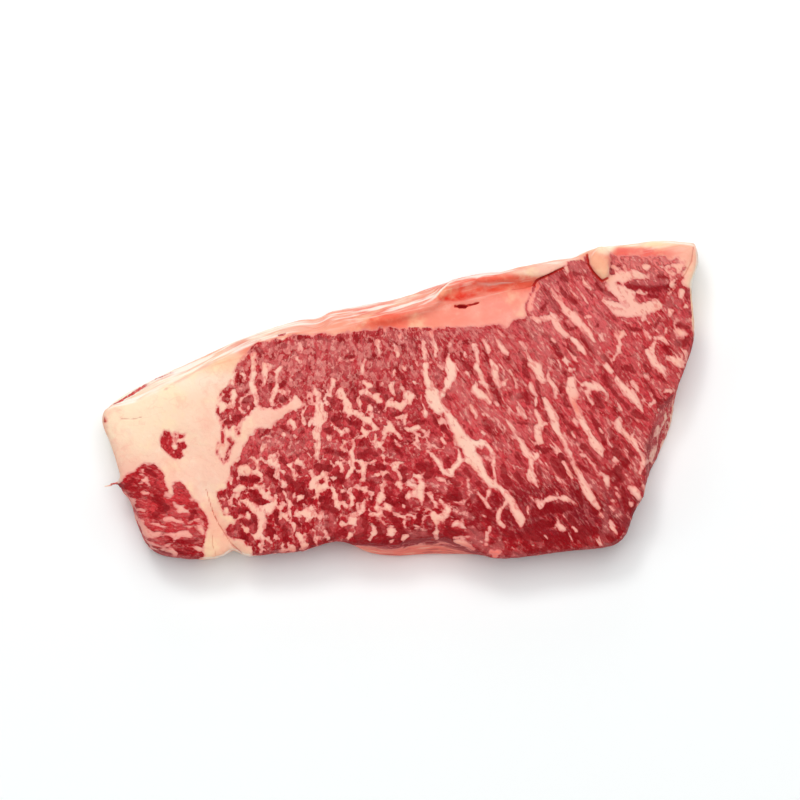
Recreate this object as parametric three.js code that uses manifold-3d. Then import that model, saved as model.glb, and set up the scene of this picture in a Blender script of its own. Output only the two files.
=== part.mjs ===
// A raw wagyu striploin steak, lying on its cut face. Millimetres, +Z up.
// The origin is the centre of the underside's bounding box. +X runs to the blunt end of the
// loin eye and +Y to the fat cap. The steak is one piece: fat, eye and side muscle are one solid.
import * as THREE from "three";
import { mergeVertices } from "three/addons/utils/BufferGeometryUtils.js";
import Module from "manifold-3d";

const wasm = await Module();
wasm.setup();

// Driving dimensions.
const EYE_THICKNESS = 24;
const TAIL_THICKNESS = 21.5;
const LEFT_END = -111.8;
const RIGHT_END = 111.8;
const RIM_RADIUS = 1.9;
const FOOT_RADIUS = 2.4;
const WALL_SWELL = 0.7;
const RIM_DROP = 0.4;

// The outline seen from above, clockwise from the tail, as [x, y] in four stretches.
const FAT_CAP_EDGE = [
  [-111.7, -7.5], [-111, -4.1], [-108.7, -1.1], [-105, 2.3], [-97.5, 6.4], [-82.5, 13.5],
  [-67.5, 20.3], [-52.5, 26.6], [-37.5, 30.8], [-30.8, 31.3], [-27.4, 33.6], [-15, 36.4],
  [0, 39.2], [15, 44.3], [30, 47.3], [37.5, 48], [45, 50.3], [60, 52.9], [64, 52.9],
];
const BLUNT_END = [
  [72, 56.6], [75, 57.8], [82.5, 58.3], [97.5, 59.8], [104.3, 59.3], [108.4, 58.9],
  [110.3, 59.1], [111.4, 55.9], [111.7, 51], [109.5, 43.9], [110.3, 30], [110.4, 22.5],
  [106.5, 9.4], [104.6, 4.5], [103.1, -9], [97.5, -22.5], [91.6, -34.5], [91.1, -37.9],
  [88.1, -42], [86.3, -47.3], [84, -52.1], [79.5, -55.1],
];
const CHINE_EDGE = [
  [74.3, -56.3], [55.5, -57.9], [46.9, -59.1], [37.5, -60], [31.9, -59.3], [11.3, -58.7],
  [0, -59.3], [-9.4, -58.7], [-14.3, -57], [-19.1, -54], [-24.4, -53.8], [-37.5, -57],
  [-46.9, -57.8], [-53.3, -59.1], [-58.1, -58.7], [-60.6, -57.2], [-63, -56.6], [-65.3, -58.5],
  [-68.3, -59.6],
];
const TAIL_EDGE = [
  [-82.5, -59.8], [-88.9, -59.4], [-92.6, -58.1], [-95.6, -55.1], [-98.3, -49.9],
  [-102.4, -37.5], [-104.8, -34.1], [-105.4, -31.2], [-105, -29.3], [-108.8, -16.1],
];

// The line down the middle of the slab that every ring of the mesh closes onto.
const SPINE_TAIL = new THREE.Vector2(-70, -22);
const SPINE_BLUNT = new THREE.Vector2(74, 3);

// How finely the solids are meshed, and how deep a crack's axis lies as a share of its radius.
const STEPS_ROUND = 164;
const FACE_RINGS = 13;
const UNDERSIDE_RINGS = 3;
const SPINE_SHARE = 0.07;
const RING_CROWDING = 1.08;
const CRACK_SIDES = 6;
const CRACK_STEPS = 8;
const CRACK_SINK = 0.3;
const LOBE_STEPS = 30;

// Stretches where the wall leans out below the cut face, and how far the rim sits inside there.
const LEANING_WALLS = [
  { from: [-103, 4], to: [9, 42], reach: 9, lean: 5.2 },
  { from: [103.5, -8], to: [97.5, -22], reach: 10, lean: 6.4 },
  { from: [-10, -58.7], to: [24, -59.2], reach: 7, lean: 3.8 },
  { from: [6, -58.7], to: [16, -58.8], reach: 8, lean: 6 },
  { from: [-101, -42], to: [-90, -60], reach: 8, lean: 2.2 },
];

// Low swells and hollows of the cut face: centre, half sizes, turn in degrees and height.
const FACE_SWELLS = [
  { name: "side muscle", at: [-86, -44], half: [15, 17], turn: 30, height: 1 },
  { name: "loin eye", at: [12, -14], half: [88, 42], turn: 10, height: 1.1 },
  { name: "eye's lower flank", at: [50, -38], half: [36, 16], turn: 5, height: 0.7 },
  { name: "soft fat hollow", at: [20, 34.6], half: [36, 6.5], turn: 14, height: -3.1 },
  { name: "tail fat", at: [-88, -10], half: [18, 13], turn: 20, height: 0.8 },
  { name: "dip at the small islet", at: [-84, -17], half: [8, 7], turn: 0, height: -0.7 },
  { name: "blunt corner", at: [98, 49], half: [13, 9], turn: 0, height: 1.1 },
  { name: "dip behind the fat knob", at: [67, 42], half: [10, 9], turn: -50, height: -1.2 },
  { name: "dip beside the wall", at: [88, -18], half: [9, 20], turn: -20, height: -1 },
];

// Shallow waves over the whole face: height, wavelength over 2 pi along x and y, and phase.
const RIPPLES = [
  { height: 0.35, alongX: 11, alongY: 23, phase: 0 },
  { height: 0.25, alongX: -31, alongY: 9, phase: 1 },
];

// Broad seams of fat that stand a little proud of the lean, each a bent line and a half width.
const PROUD_SEAMS = [
  { line: [[-62, -15], [-48, -5], [-34, 0], [-31, -20]], half: 6, height: 0.5 },
  { line: [[10, 12], [13, 2], [22, -9], [30, -19], [37, -31], [44, -44]], half: 6, height: 0.55 },
  { line: [[44, 12], [53, 0], [60, -13], [68, -26], [76, -40]], half: 6, height: 0.45 },
  { line: [[66, 24], [76, 8], [84, -8], [92, -24]], half: 6, height: 0.4 },
];

// The valley where the side muscle's fat meets the fat round the eye.
const MUSCLE_VALLEY = { line: [[-73, -34], [-69, -46], [-62, -57]], half: 5, height: -1.3 };

// Cracks cut into the surface: a round-bottomed line of this radius along each. A point with no
// height lies on the cut face, and one with a height lies on the wall.
const CRACKS = [
  {
    name: "seam of the side muscle",
    line: [[-73, -33.5], [-70.5, -41], [-66, -49.5], [-60, -57]],
    radius: 1,
  },
  { name: "seam of the fat", line: [[-70, -50.5], [-69.5, -54], [-68.8, -57]], radius: 0.8 },
  { name: "seam of the tail fat", line: [[-105, -7.4], [-101, -7.6], [-97, -6.2]], radius: 0.8 },
  {
    name: "seam over the chine",
    line: [[9, -53.2, 19.6], [20, -55.6, 17.5], [28, -58.4, 14], [36, -60.6, 10]],
    radius: 1,
  },
  { name: "fold of the eye's rim", line: [[108, 51], [107, 46.5], [102.5, 41.5], [98.5, 38]], radius: 0.9 },
];

// The slit in the soft fat: a lens with a tapered end each way.
const SLIT = { at: [24.6, 35.5], half: [4.4, 0.95, 3.4], turn: 9 };

// Loose lobes on the surface: outline, height of the crown above the face and how far it runs in.
const LOBES = [
  {
    name: "lip of the fat cap",
    outline: [
      [27, 45.2], [37.5, 46.6], [45, 48.8], [52.5, 50.6], [60, 51.4], [62.6, 50],
      [60, 48.6], [55, 46.6], [51.4, 44.6], [45, 44.3], [36, 43.6], [30, 43.2],
    ],
    crown: 1.7,
    root: 8,
  },
  {
    name: "torn skin over the soft fat",
    outline: [[15, 36.9], [22, 37.6], [29, 39.6], [37, 42.6], [36, 44], [28, 42], [21, 39.6], [16, 38]],
    crown: 0.7,
    root: 4,
  },
  {
    name: "fat knob",
    outline: [
      [71.5, 54.8], [70.3, 50.8], [71.4, 48], [74, 46], [76.3, 44.8], [77.9, 46],
      [78.2, 50], [79, 53], [77.6, 56], [75.4, 57.4], [73, 56.8],
    ],
    crown: 2.9,
    root: 6,
  },
  {
    name: "pearl of fat",
    outline: [[86, -32.6], [87.8, -31.4], [90, -33], [91.2, -36], [89.6, -37.6], [87.2, -36]],
    crown: 1.7,
    root: 5,
  },
];

// The shred of sinew that sticks out of the tail.
const SHRED = {
  tip: [-111.6, -32.2],
  root: [-102, -31.4],
  level: 16.5,
  tipRadius: 0.45,
  rootRadius: 2.1,
  droop: 0.9,
  steps: 6,
};

// The rings of a lobe from its root to its crown: how far each is drawn in to the middle, and its
// depth as a share of the root, or its height as a share of the crown.
const LOBE_RINGS = [
  { drawnIn: 0.12, depth: 1 },
  { drawnIn: 0.02, depth: 0.15 },
  { drawnIn: 0, height: 0.35 },
  { drawnIn: 0.12, height: 0.72 },
  { drawnIn: 0.35, height: 0.93 },
  { drawnIn: 0.7, height: 1 },
];

const clamp01 = (value) => Math.min(1, Math.max(0, value));
const smooth = (value) => clamp01(value) ** 2 * (3 - 2 * clamp01(value));
const radians = THREE.MathUtils.degToRad;

// The distance from (x, y) to a bent line of [x, y] points.
function distanceToLine(x, y, line) {
  let nearest = Infinity;
  for (let i = 1; i < line.length; i += 1) {
    const [ax, ay] = line[i - 1];
    const [bx, by] = line[i];
    const length = Math.hypot(bx - ax, by - ay);
    const along = clamp01(((x - ax) * (bx - ax) + (y - ay) * (by - ay)) / length ** 2);
    nearest = Math.min(nearest, Math.hypot(x - ax - along * (bx - ax), y - ay - along * (by - ay)));
  }
  return nearest;
}

// A rounded ridge or valley along a bent line.
const ridge = (x, y, { line, half, height }) => height * smooth(1 - distanceToLine(x, y, line) / half);

// A soft elliptical swell.
function swell(x, y, { at, half, turn, height }) {
  const dx = x - at[0];
  const dy = y - at[1];
  const c = Math.cos(radians(turn));
  const s = Math.sin(radians(turn));
  const reach = ((dx * c + dy * s) / half[0]) ** 2 + ((dy * c - dx * s) / half[1]) ** 2;
  return height * smooth(1.25 - reach / 1.2);
}

// The height of the cut face at (x, y).
function faceHeight(x, y) {
  const along = smooth((x - LEFT_END) / (RIGHT_END - LEFT_END) * 1.6);
  const slab = THREE.MathUtils.lerp(TAIL_THICKNESS, EYE_THICKNESS, along) - 1;
  const ripple = RIPPLES.reduce(
    (sum, { height, alongX, alongY, phase }) => sum + height * Math.sin(x / alongX + y / alongY + phase),
    0,
  );
  const swells = FACE_SWELLS.reduce((sum, each) => sum + swell(x, y, each), 0);
  const seams = PROUD_SEAMS.reduce((sum, each) => sum + ridge(x, y, each), 0);
  return slab + ripple + swells + seams + ridge(x, y, MUSCLE_VALLEY);
}

// The widest outline as evenly spaced points, clockwise.
function outlinePoints() {
  const edges = [...FAT_CAP_EDGE, ...BLUNT_END, ...CHINE_EDGE, ...TAIL_EDGE];
  const points = edges.map(([x, y]) => new THREE.Vector3(x, y, 0));
  const curve = new THREE.CatmullRomCurve3(points, true, "centripetal");
  curve.arcLengthDivisions = 1200;
  return curve.getSpacedPoints(STEPS_ROUND).slice(0, STEPS_ROUND);
}

// The point of the spine nearest to an outline point.
function spinePoint(p) {
  const spine = SPINE_BLUNT.clone().sub(SPINE_TAIL);
  const along = clamp01(new THREE.Vector2(p.x, p.y).sub(SPINE_TAIL).dot(spine) / spine.lengthSq());
  return SPINE_TAIL.clone().addScaledVector(spine, along);
}

// How far the rim of the cut face sits inside the outline at an outline point.
function rimLean(p) {
  const leans = LEANING_WALLS.map(
    ({ from, to, reach, lean }) => lean * smooth(1.2 - distanceToLine(p.x, p.y, [from, to]) / reach),
  );
  return Math.max(0, ...leans);
}

// The wall's inset from the outline and height for a share of the way up it, from foot to rim.
function wallStation(p, rimHeight, station) {
  const lean = rimLean(p);
  const z = station.fromTop === undefined ? station.z : rimHeight - station.fromTop;
  const share = clamp01(z / rimHeight);
  const foot = FOOT_RADIUS * (1 - Math.sqrt(1 - (1 - clamp01(z / FOOT_RADIUS)) ** 2));
  const rim = RIM_RADIUS * (1 - Math.sqrt(1 - clamp01(1 - (rimHeight - z) / RIM_RADIUS) ** 2));
  const swelling = WALL_SWELL * (Math.sin(p.x / 7 + p.y / 5) * 0.5 + 0.5) * Math.sin(Math.PI * share);
  return { inset: foot + rim + lean * smooth(share) + WALL_SWELL - swelling, z };
}

const WALL_STATIONS = [
  { z: 0 }, { z: 0.7 }, { z: 2.2 }, { z: 6.5 }, { z: 11.5 }, { z: 16.5 },
  { fromTop: 1.7 }, { fromTop: 0.6 }, { fromTop: 0 },
];

// One ring of vertices: the outline drawn in towards the spine, with a height for each vertex.
function ring(outline, insetOf, heightOf) {
  return outline.map((p) => {
    const middle = spinePoint(p);
    const inward = middle.clone().sub(new THREE.Vector2(p.x, p.y));
    const share = insetOf(p, inward.length()) / inward.length();
    const x = p.x + inward.x * share;
    const y = p.y + inward.y * share;
    return new THREE.Vector3(x, y, heightOf(x, y, p));
  });
}

// The faces that close a ring: a strip sewn between its two long sides, from its tail to its blunt end.
// They run along the ring's edges in its own order.
function capFaces(points, first) {
  const spine = SPINE_BLUNT.clone().sub(SPINE_TAIL).normalize();
  const along = points.map((p) => p.x * spine.x + p.y * spine.y);
  const count = points.length;
  const start = along.indexOf(Math.min(...along));
  const end = along.indexOf(Math.max(...along));
  let ahead = start;
  let behind = start;
  const faces = [];
  while (ahead !== end || behind !== end) {
    const nextAhead = (ahead + 1) % count;
    const nextBehind = (behind - 1 + count) % count;
    const reachAhead = points[nextAhead].distanceTo(points[behind]);
    const reachBehind = points[nextBehind].distanceTo(points[ahead]);
    if (behind === end || (ahead !== end && reachAhead <= reachBehind)) {
      faces.push([first + ahead, first + nextAhead, first + behind]);
      ahead = nextAhead;
    } else {
      faces.push([first + nextBehind, first + behind, first + ahead]);
      behind = nextBehind;
    }
  }
  return faces.filter(([a, b, c]) => a !== b && b !== c && c !== a);
}

// A closed mesh from stacked rings of equal length, capped below and above.
function closedRings(rings) {
  const count = rings[0].length;
  const faces = [];
  for (let level = 1; level < rings.length; level += 1) {
    for (let i = 0; i < count; i += 1) {
      const j = (i + 1) % count;
      const low = (level - 1) * count;
      const high = level * count;
      faces.push(low + i, high + i, low + j, low + j, high + i, high + j);
    }
  }
  capFaces(rings[0], 0).forEach(([a, b, c]) => faces.push(a, b, c));
  capFaces(rings.at(-1), (rings.length - 1) * count).forEach(([a, b, c]) => faces.push(b, a, c));
  const geometry = new THREE.BufferGeometry().setFromPoints(rings.flat());
  geometry.setIndex(faces);
  return facingOut(geometry);
}

// The same geometry with its faces turned outwards, judged by its signed volume.
function facingOut(geometry) {
  const at = geometry.getAttribute("position");
  const index = geometry.getIndex().array;
  const corner = (i) => new THREE.Vector3().fromBufferAttribute(at, index[i]);
  let volume = 0;
  for (let i = 0; i < index.length; i += 3) {
    volume += corner(i).dot(corner(i + 1).cross(corner(i + 2)));
  }
  if (volume < 0) {
    for (let i = 0; i < index.length; i += 3) {
      [index[i + 1], index[i + 2]] = [index[i + 2], index[i + 1]];
    }
  }
  return geometry;
}

// The slab: underside, leaning wall and cut face.
function slab() {
  const outline = outlinePoints();
  const rimHeights = new Map(outline.map((p) => [p, faceHeight(p.x, p.y) - RIM_DROP]));
  const rimInset = (p) => wallStation(p, rimHeights.get(p), WALL_STATIONS.at(-1)).inset;
  const footInset = (p) => wallStation(p, rimHeights.get(p), WALL_STATIONS[0]).inset;
  const inwards = (from) => (share) => (p, reach) => from(p) + (reach - from(p)) * share;
  const underside = [];
  for (let i = UNDERSIDE_RINGS; i > 0; i -= 1) {
    const share = (i / UNDERSIDE_RINGS) * (1 - SPINE_SHARE);
    underside.push(ring(outline, inwards(footInset)(share), () => 0));
  }
  const wall = WALL_STATIONS.map((station) =>
    ring(
      outline,
      (p) => wallStation(p, rimHeights.get(p), station).inset,
      (x, y, p) => wallStation(p, rimHeights.get(p), station).z,
    ),
  );
  const face = [];
  for (let i = 1; i <= FACE_RINGS; i += 1) {
    const share = (i / FACE_RINGS) ** RING_CROWDING * (1 - SPINE_SHARE);
    face.push(ring(outline, inwards(rimInset)(share), (x, y) => faceHeight(x, y)));
  }
  return closedRings([...underside, ...wall, ...face]);
}

// A lobe: its outline domed up to a crown and run down into the meat.
function lobe({ outline, crown, root }) {
  const points = outline.map(([x, y]) => new THREE.Vector3(x, y, 0));
  const curve = new THREE.CatmullRomCurve3(points, true, "centripetal");
  const rim = curve.getSpacedPoints(LOBE_STEPS).slice(0, LOBE_STEPS);
  const centre = rim.reduce((sum, p) => sum.add(p), new THREE.Vector3()).divideScalar(rim.length);
  const drawn = (share, lift) =>
    rim.map((p) => {
      const x = THREE.MathUtils.lerp(p.x, centre.x, share);
      const y = THREE.MathUtils.lerp(p.y, centre.y, share);
      return new THREE.Vector3(x, y, faceHeight(x, y) + lift);
    });
  return closedRings(
    LOBE_RINGS.map(({ drawnIn, depth = 0, height = 0 }) => drawn(drawnIn, crown * height - root * depth)),
  );
}

// A crack: a round line along the surface, to be cut out of the slab.
function crack({ line, radius }) {
  const path = new THREE.CatmullRomCurve3(
    line.map(([x, y, z]) => new THREE.Vector3(x, y, z ?? faceHeight(x, y) - radius * CRACK_SINK)),
  );
  const corners = Array.from({ length: CRACK_SIDES }, (_, i) => (i * 2 * Math.PI) / CRACK_SIDES);
  const section = new THREE.Shape(
    corners.map((turn) => new THREE.Vector2(radius * Math.cos(turn), radius * Math.sin(turn))),
  );
  return new THREE.ExtrudeGeometry(section, { extrudePath: path, steps: CRACK_STEPS });
}

// The slit in the soft fat, to be cut out of the slab.
function slit({ at, half, turn }) {
  const lens = new THREE.SphereGeometry(1, 14, 8);
  lens.scale(...half);
  lens.rotateZ(radians(turn));
  lens.translate(at[0], at[1], faceHeight(...at));
  return lens;
}

// The shred of sinew, tapering from its root in the meat to its tip.
function shred({ tip, root, level, tipRadius, rootRadius, droop, steps }) {
  const length = Math.hypot(root[0] - tip[0], root[1] - tip[1]);
  const cone = new THREE.CylinderGeometry(tipRadius, rootRadius, length, 8, steps);
  cone.rotateZ(Math.PI / 2);
  const at = cone.getAttribute("position");
  for (let i = 0; i < at.count; i += 1) {
    const out = clamp01(0.5 - at.getX(i) / length);
    at.setY(i, at.getY(i) * (0.55 + 0.45 * out ** 2) + 0.5 * Math.sin(out * 4));
    at.setZ(i, at.getZ(i) * 0.8 - droop * (1 - out) ** 2);
  }
  cone.rotateZ(Math.atan2(root[1] - tip[1], root[0] - tip[0]));
  cone.translate((tip[0] + root[0]) / 2, (tip[1] + root[1]) / 2, level);
  return cone;
}

// A geometry as a solid for cutting and joining.
function solid(geometry) {
  const bare = geometry.clone();
  bare.deleteAttribute("normal");
  bare.deleteAttribute("uv");
  const merged = facingOut(mergeVertices(bare, 1e-4));
  return new wasm.Manifold(
    new wasm.Mesh({
      numProp: 3,
      vertProperties: new Float32Array(merged.getAttribute("position").array),
      triVerts: new Uint32Array(merged.getIndex().array),
    }),
  );
}

// A solid as a geometry, moved so that its bounding box stands centred on the origin.
function centredGeometry(made) {
  const mesh = made.getMesh();
  const geometry = new THREE.BufferGeometry();
  geometry.setAttribute("position", new THREE.BufferAttribute(mesh.vertProperties, 3));
  geometry.setIndex(new THREE.BufferAttribute(mesh.triVerts, 1));
  geometry.computeBoundingBox();
  const middle = geometry.boundingBox.getCenter(new THREE.Vector3());
  geometry.translate(-middle.x, -middle.y, -geometry.boundingBox.min.z);
  geometry.computeVertexNormals();
  return geometry;
}

// The whole steak: the slab with its lobes joined on and its cracks cut in.
function steakGeometry() {
  let steak = solid(slab());
  LOBES.forEach((each) => {
    steak = steak.add(solid(lobe(each)));
  });
  steak = steak.add(solid(shred(SHRED)));
  CRACKS.forEach((each) => {
    steak = steak.subtract(solid(crack(each)));
  });
  steak = steak.subtract(solid(slit(SLIT)));
  return centredGeometry(steak);
}

const rawBeef = new THREE.MeshStandardMaterial({ color: 0xcf6a62, roughness: 0.45, metalness: 0 });
const steak = new THREE.Mesh(steakGeometry(), rawBeef);
steak.name = "steak";

const part = new THREE.Group();
part.add(steak);

export default part;
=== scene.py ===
"""A raw wagyu striploin steak on a pale studio floor.

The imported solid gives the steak's form. This script lays a finer skin over it, works out where fat
and lean lie on the cut faces and walls, and gives both the relief and the wet finish of raw beef.
"""

import logging
import math
from dataclasses import dataclass
from enum import Enum

import bmesh
import bpy
import numpy as np
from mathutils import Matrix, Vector, noise


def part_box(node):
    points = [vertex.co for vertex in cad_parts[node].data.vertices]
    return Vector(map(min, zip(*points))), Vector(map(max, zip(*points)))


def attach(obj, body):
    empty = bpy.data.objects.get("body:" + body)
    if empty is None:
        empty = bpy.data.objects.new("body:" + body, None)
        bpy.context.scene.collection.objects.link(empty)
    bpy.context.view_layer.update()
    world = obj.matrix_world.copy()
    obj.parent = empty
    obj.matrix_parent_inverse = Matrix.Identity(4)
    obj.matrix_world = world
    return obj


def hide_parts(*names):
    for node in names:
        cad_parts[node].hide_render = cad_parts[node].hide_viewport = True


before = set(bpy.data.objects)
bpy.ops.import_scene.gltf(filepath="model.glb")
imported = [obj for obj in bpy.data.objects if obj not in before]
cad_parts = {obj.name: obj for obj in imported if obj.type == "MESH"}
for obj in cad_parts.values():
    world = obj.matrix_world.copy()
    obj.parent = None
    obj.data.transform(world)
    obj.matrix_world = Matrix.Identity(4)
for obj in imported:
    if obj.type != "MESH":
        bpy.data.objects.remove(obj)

LOG = logging.getLogger("steak")
MM = 0.001
TINY = 1e-9
NOISE_TURN = (0.6, 0.5, 0.7)
FULL = (0.0, 1.0)

Socket = bpy.types.NodeSocket
Range = tuple[float, float]
Triple = tuple[float, float, float]
Colour = tuple[float, float, float, float]

# The photograph's frame, in pixels: its width, and the lines that the steak's outline reaches.
PICTURE_WIDTH = 800.0
OUTLINE_LEFT, OUTLINE_RIGHT = 102.0, 697.6
OUTLINE_TOP, OUTLINE_BOTTOM = 240.6, 560.0


def linear(colour: str) -> Colour:
    """Turns an sRGB hex colour into linear RGBA.

    Args:
        colour: Six hex digits after a hash.

    Returns:
        The linear red, green and blue, with an alpha of 1.
    """
    parts = [int(colour[i : i + 2], 16) / 255 for i in (1, 3, 5)]
    red, green, blue = (v / 12.92 if v <= 0.04045 else ((v + 0.055) / 1.055) ** 2.4 for v in parts)
    return red, green, blue, 1.0


def smooth(values: np.ndarray) -> np.ndarray:
    """Eases values from 0 to 1, and holds them there outside that range."""
    held = np.clip(values, 0.0, 1.0)
    return held * held * (3.0 - 2.0 * held)


def add_node(
    tree: bpy.types.NodeTree,
    kind: str,
    inputs: tuple | dict = (),
    output: str | int = 0,
    **settings: object,
) -> Socket:
    """Adds a node to a material's tree.

    Args:
        tree: The material's node tree.
        kind: The node's type, as its name goes on after ShaderNode.
        inputs: A socket to link from or a value to hold for each input, in order, or by name or number.
        output: The name or number of the output to give back.
        **settings: Properties of the node itself.

    Returns:
        That output.
    """
    made = tree.nodes.new("ShaderNode" + kind)
    for name, value in settings.items():
        setattr(made, name, value)
    given = inputs if isinstance(inputs, dict) else dict(enumerate(inputs))
    for name, value in given.items():
        if isinstance(value, Socket):
            tree.links.new(value, made.inputs[name])
        else:
            made.inputs[name].default_value = value
    return made.outputs[output]


class PhotoFrame:
    """Places read in the photograph, turned into millimetres on the steak."""

    def __init__(self) -> None:
        """Fits the photograph's outline to the steak's own box."""
        low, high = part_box("steak")
        self.scale = (high.x - low.x) / MM / (OUTLINE_RIGHT - OUTLINE_LEFT)
        self.middle = np.array([(OUTLINE_LEFT + OUTLINE_RIGHT) / 2, (OUTLINE_TOP + OUTLINE_BOTTOM) / 2])

    def mm(self, pixel: tuple[float, float]) -> np.ndarray:
        """Turns a place in the photograph into x and y in millimetres from the steak's origin."""
        return (np.array(pixel) - self.middle) * np.array([self.scale, -self.scale])

    def pixels(self, places: np.ndarray) -> np.ndarray:
        """Turns places in millimetres into pixels of the photograph.

        Args:
            places: Rows of x and y in millimetres.

        Returns:
            Rows of x and y in pixels.
        """
        return places / np.array([self.scale, -self.scale]) + self.middle


PHOTO = PhotoFrame()


def stroke_depth(at: np.ndarray, path: np.ndarray, widths: np.ndarray) -> np.ndarray:
    """How deep each place lies inside a bent stroke of varying width.

    Args:
        at: Places, as rows of x and y.
        path: The stroke's points, as rows of x and y in the same unit.
        widths: The stroke's full width at each of its points.

    Returns:
        The depth inside the stroke's edge, negative outside.
    """
    depth = np.full(len(at), -np.inf)
    for start, end, wide_start, wide_end in zip(path[:-1], path[1:], widths[:-1], widths[1:]):
        run = end - start
        share = np.clip(((at - start) @ run) / max(run @ run, TINY), 0.0, 1.0)
        gap = np.linalg.norm(at - start - share[:, None] * run, axis=1)
        depth = np.maximum(depth, (wide_start + (wide_end - wide_start) * share) / 2 - gap)
    return depth


def outline_depth(at: np.ndarray, outline: np.ndarray) -> np.ndarray:
    """How deep each place lies inside a closed outline.

    Args:
        at: Places, as rows of x and y.
        outline: The outline's corners, as rows of x and y.

    Returns:
        The distance to the outline, negative outside it.
    """
    inside = np.zeros(len(at), bool)
    gap = np.full(len(at), np.inf)
    for start, end in zip(outline, np.roll(outline, -1, axis=0)):
        run = end - start
        share = np.clip(((at - start) @ run) / max(run @ run, TINY), 0.0, 1.0)
        gap = np.minimum(gap, np.linalg.norm(at - start - share[:, None] * run, axis=1))
        spans = (start[1] > at[:, 1]) != (end[1] > at[:, 1])
        rise = run[1] if abs(run[1]) > TINY else TINY
        inside ^= spans & (at[:, 0] < start[0] + (at[:, 1] - start[1]) * run[0] / rise)
    return np.where(inside, gap, -gap)


def line_gap(at: np.ndarray, line: tuple[tuple[float, float], ...]) -> np.ndarray:
    """The distance from each place to a bent line, in the places' unit."""
    path = np.array(line, float)
    return -stroke_depth(at, path, np.zeros(len(path)))


def nearness(
    at: np.ndarray, middle: tuple[float, float], reach: tuple[float, float], falloff: float
) -> np.ndarray:
    """How near each place is to the middle of a soft patch, from 1 there to 0 far away."""
    offset = (at - np.array(middle)) / np.array(reach)
    return np.exp(-falloff * (offset**2).sum(axis=1))


def fractal(points: np.ndarray, calm: float = 1.0, lacunarity: float = 2.0, octaves: int = 2) -> np.ndarray:
    """Works out a fractal noise.

    Args:
        points: Rows of x, y and z.
        calm: How much weaker the finer octaves are.
        lacunarity: How much finer each octave is.
        octaves: How many there are.

    Returns:
        One value for each point, about 0 in the mean.
    """
    values = (noise.fractal(Vector(p), calm, lacunarity, octaves) for p in points.tolist())
    return np.fromiter(values, float, len(points))


def soft_union(first: np.ndarray, second: np.ndarray, fillet: float) -> np.ndarray:
    """Joins two depths, with their meeting corner filled out.

    Args:
        first: One depth.
        second: The other depth.
        fillet: The reach of the fill, in the depths' unit.

    Returns:
        The depth inside either.
    """
    near = np.clip(0.5 + 0.5 * (first - second) / fillet, 0.0, 1.0)
    return second + (first - second) * near + fillet * near * (1.0 - near)


@dataclass(frozen=True)
class Strokes:
    """Strokes drawn in one part of the steak: x, y and width in pixels at each bend."""

    name: str
    paths: tuple[tuple[tuple[float, float, float], ...], ...]

    def depth(self, at: np.ndarray, fillet: float = 0.0, reach: float = 9.0) -> np.ndarray:
        """Works out how deep each place lies inside these strokes.

        Args:
            at: Places in pixels.
            fillet: How far strokes that meet are filled out, in pixels.
            reach: How far outside the strokes depths are worked out, in pixels.

        Returns:
            The depth in pixels, negative outside.
        """
        depth = np.full(len(at), -reach)
        for path in self.paths:
            bends = np.array(path if len(path) > 1 else path * 2, float)
            margin = bends[:, 2].max() / 2 + reach
            low, high = bends[:, :2].min(axis=0) - margin, bends[:, :2].max(axis=0) + margin
            near = np.flatnonzero(((at > low) & (at < high)).all(axis=1))
            inside = stroke_depth(at[near], bends[:, :2], bends[:, 2])
            if fillet:
                depth[near] = soft_union(depth[near], inside, fillet)
            else:
                depth[near] = np.maximum(depth[near], inside)
        return depth


@dataclass(frozen=True)
class Muscle:
    """A field of lean: its outline in pixels."""

    name: str
    outline: tuple[tuple[float, float], ...]

    def depth(self, at: np.ndarray) -> np.ndarray:
        """How deep each place lies inside the muscle, in pixels, negative outside."""
        return outline_depth(at, np.array(self.outline, float))


def deepest(shapes: tuple, at: np.ndarray, **settings: float) -> np.ndarray:
    """The depth inside whichever muscle or group of strokes is deepest at each place, in pixels."""
    return np.maximum.reduce([shape.depth(at, **settings) for shape in shapes])


@dataclass(frozen=True)
class Tint:
    """A soft patch of colour: its middle and reach in pixels, its colour and its strength."""

    name: str
    at: tuple[float, float]
    reach: tuple[float, float]
    colour: str
    strength: float = 1.0


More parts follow.
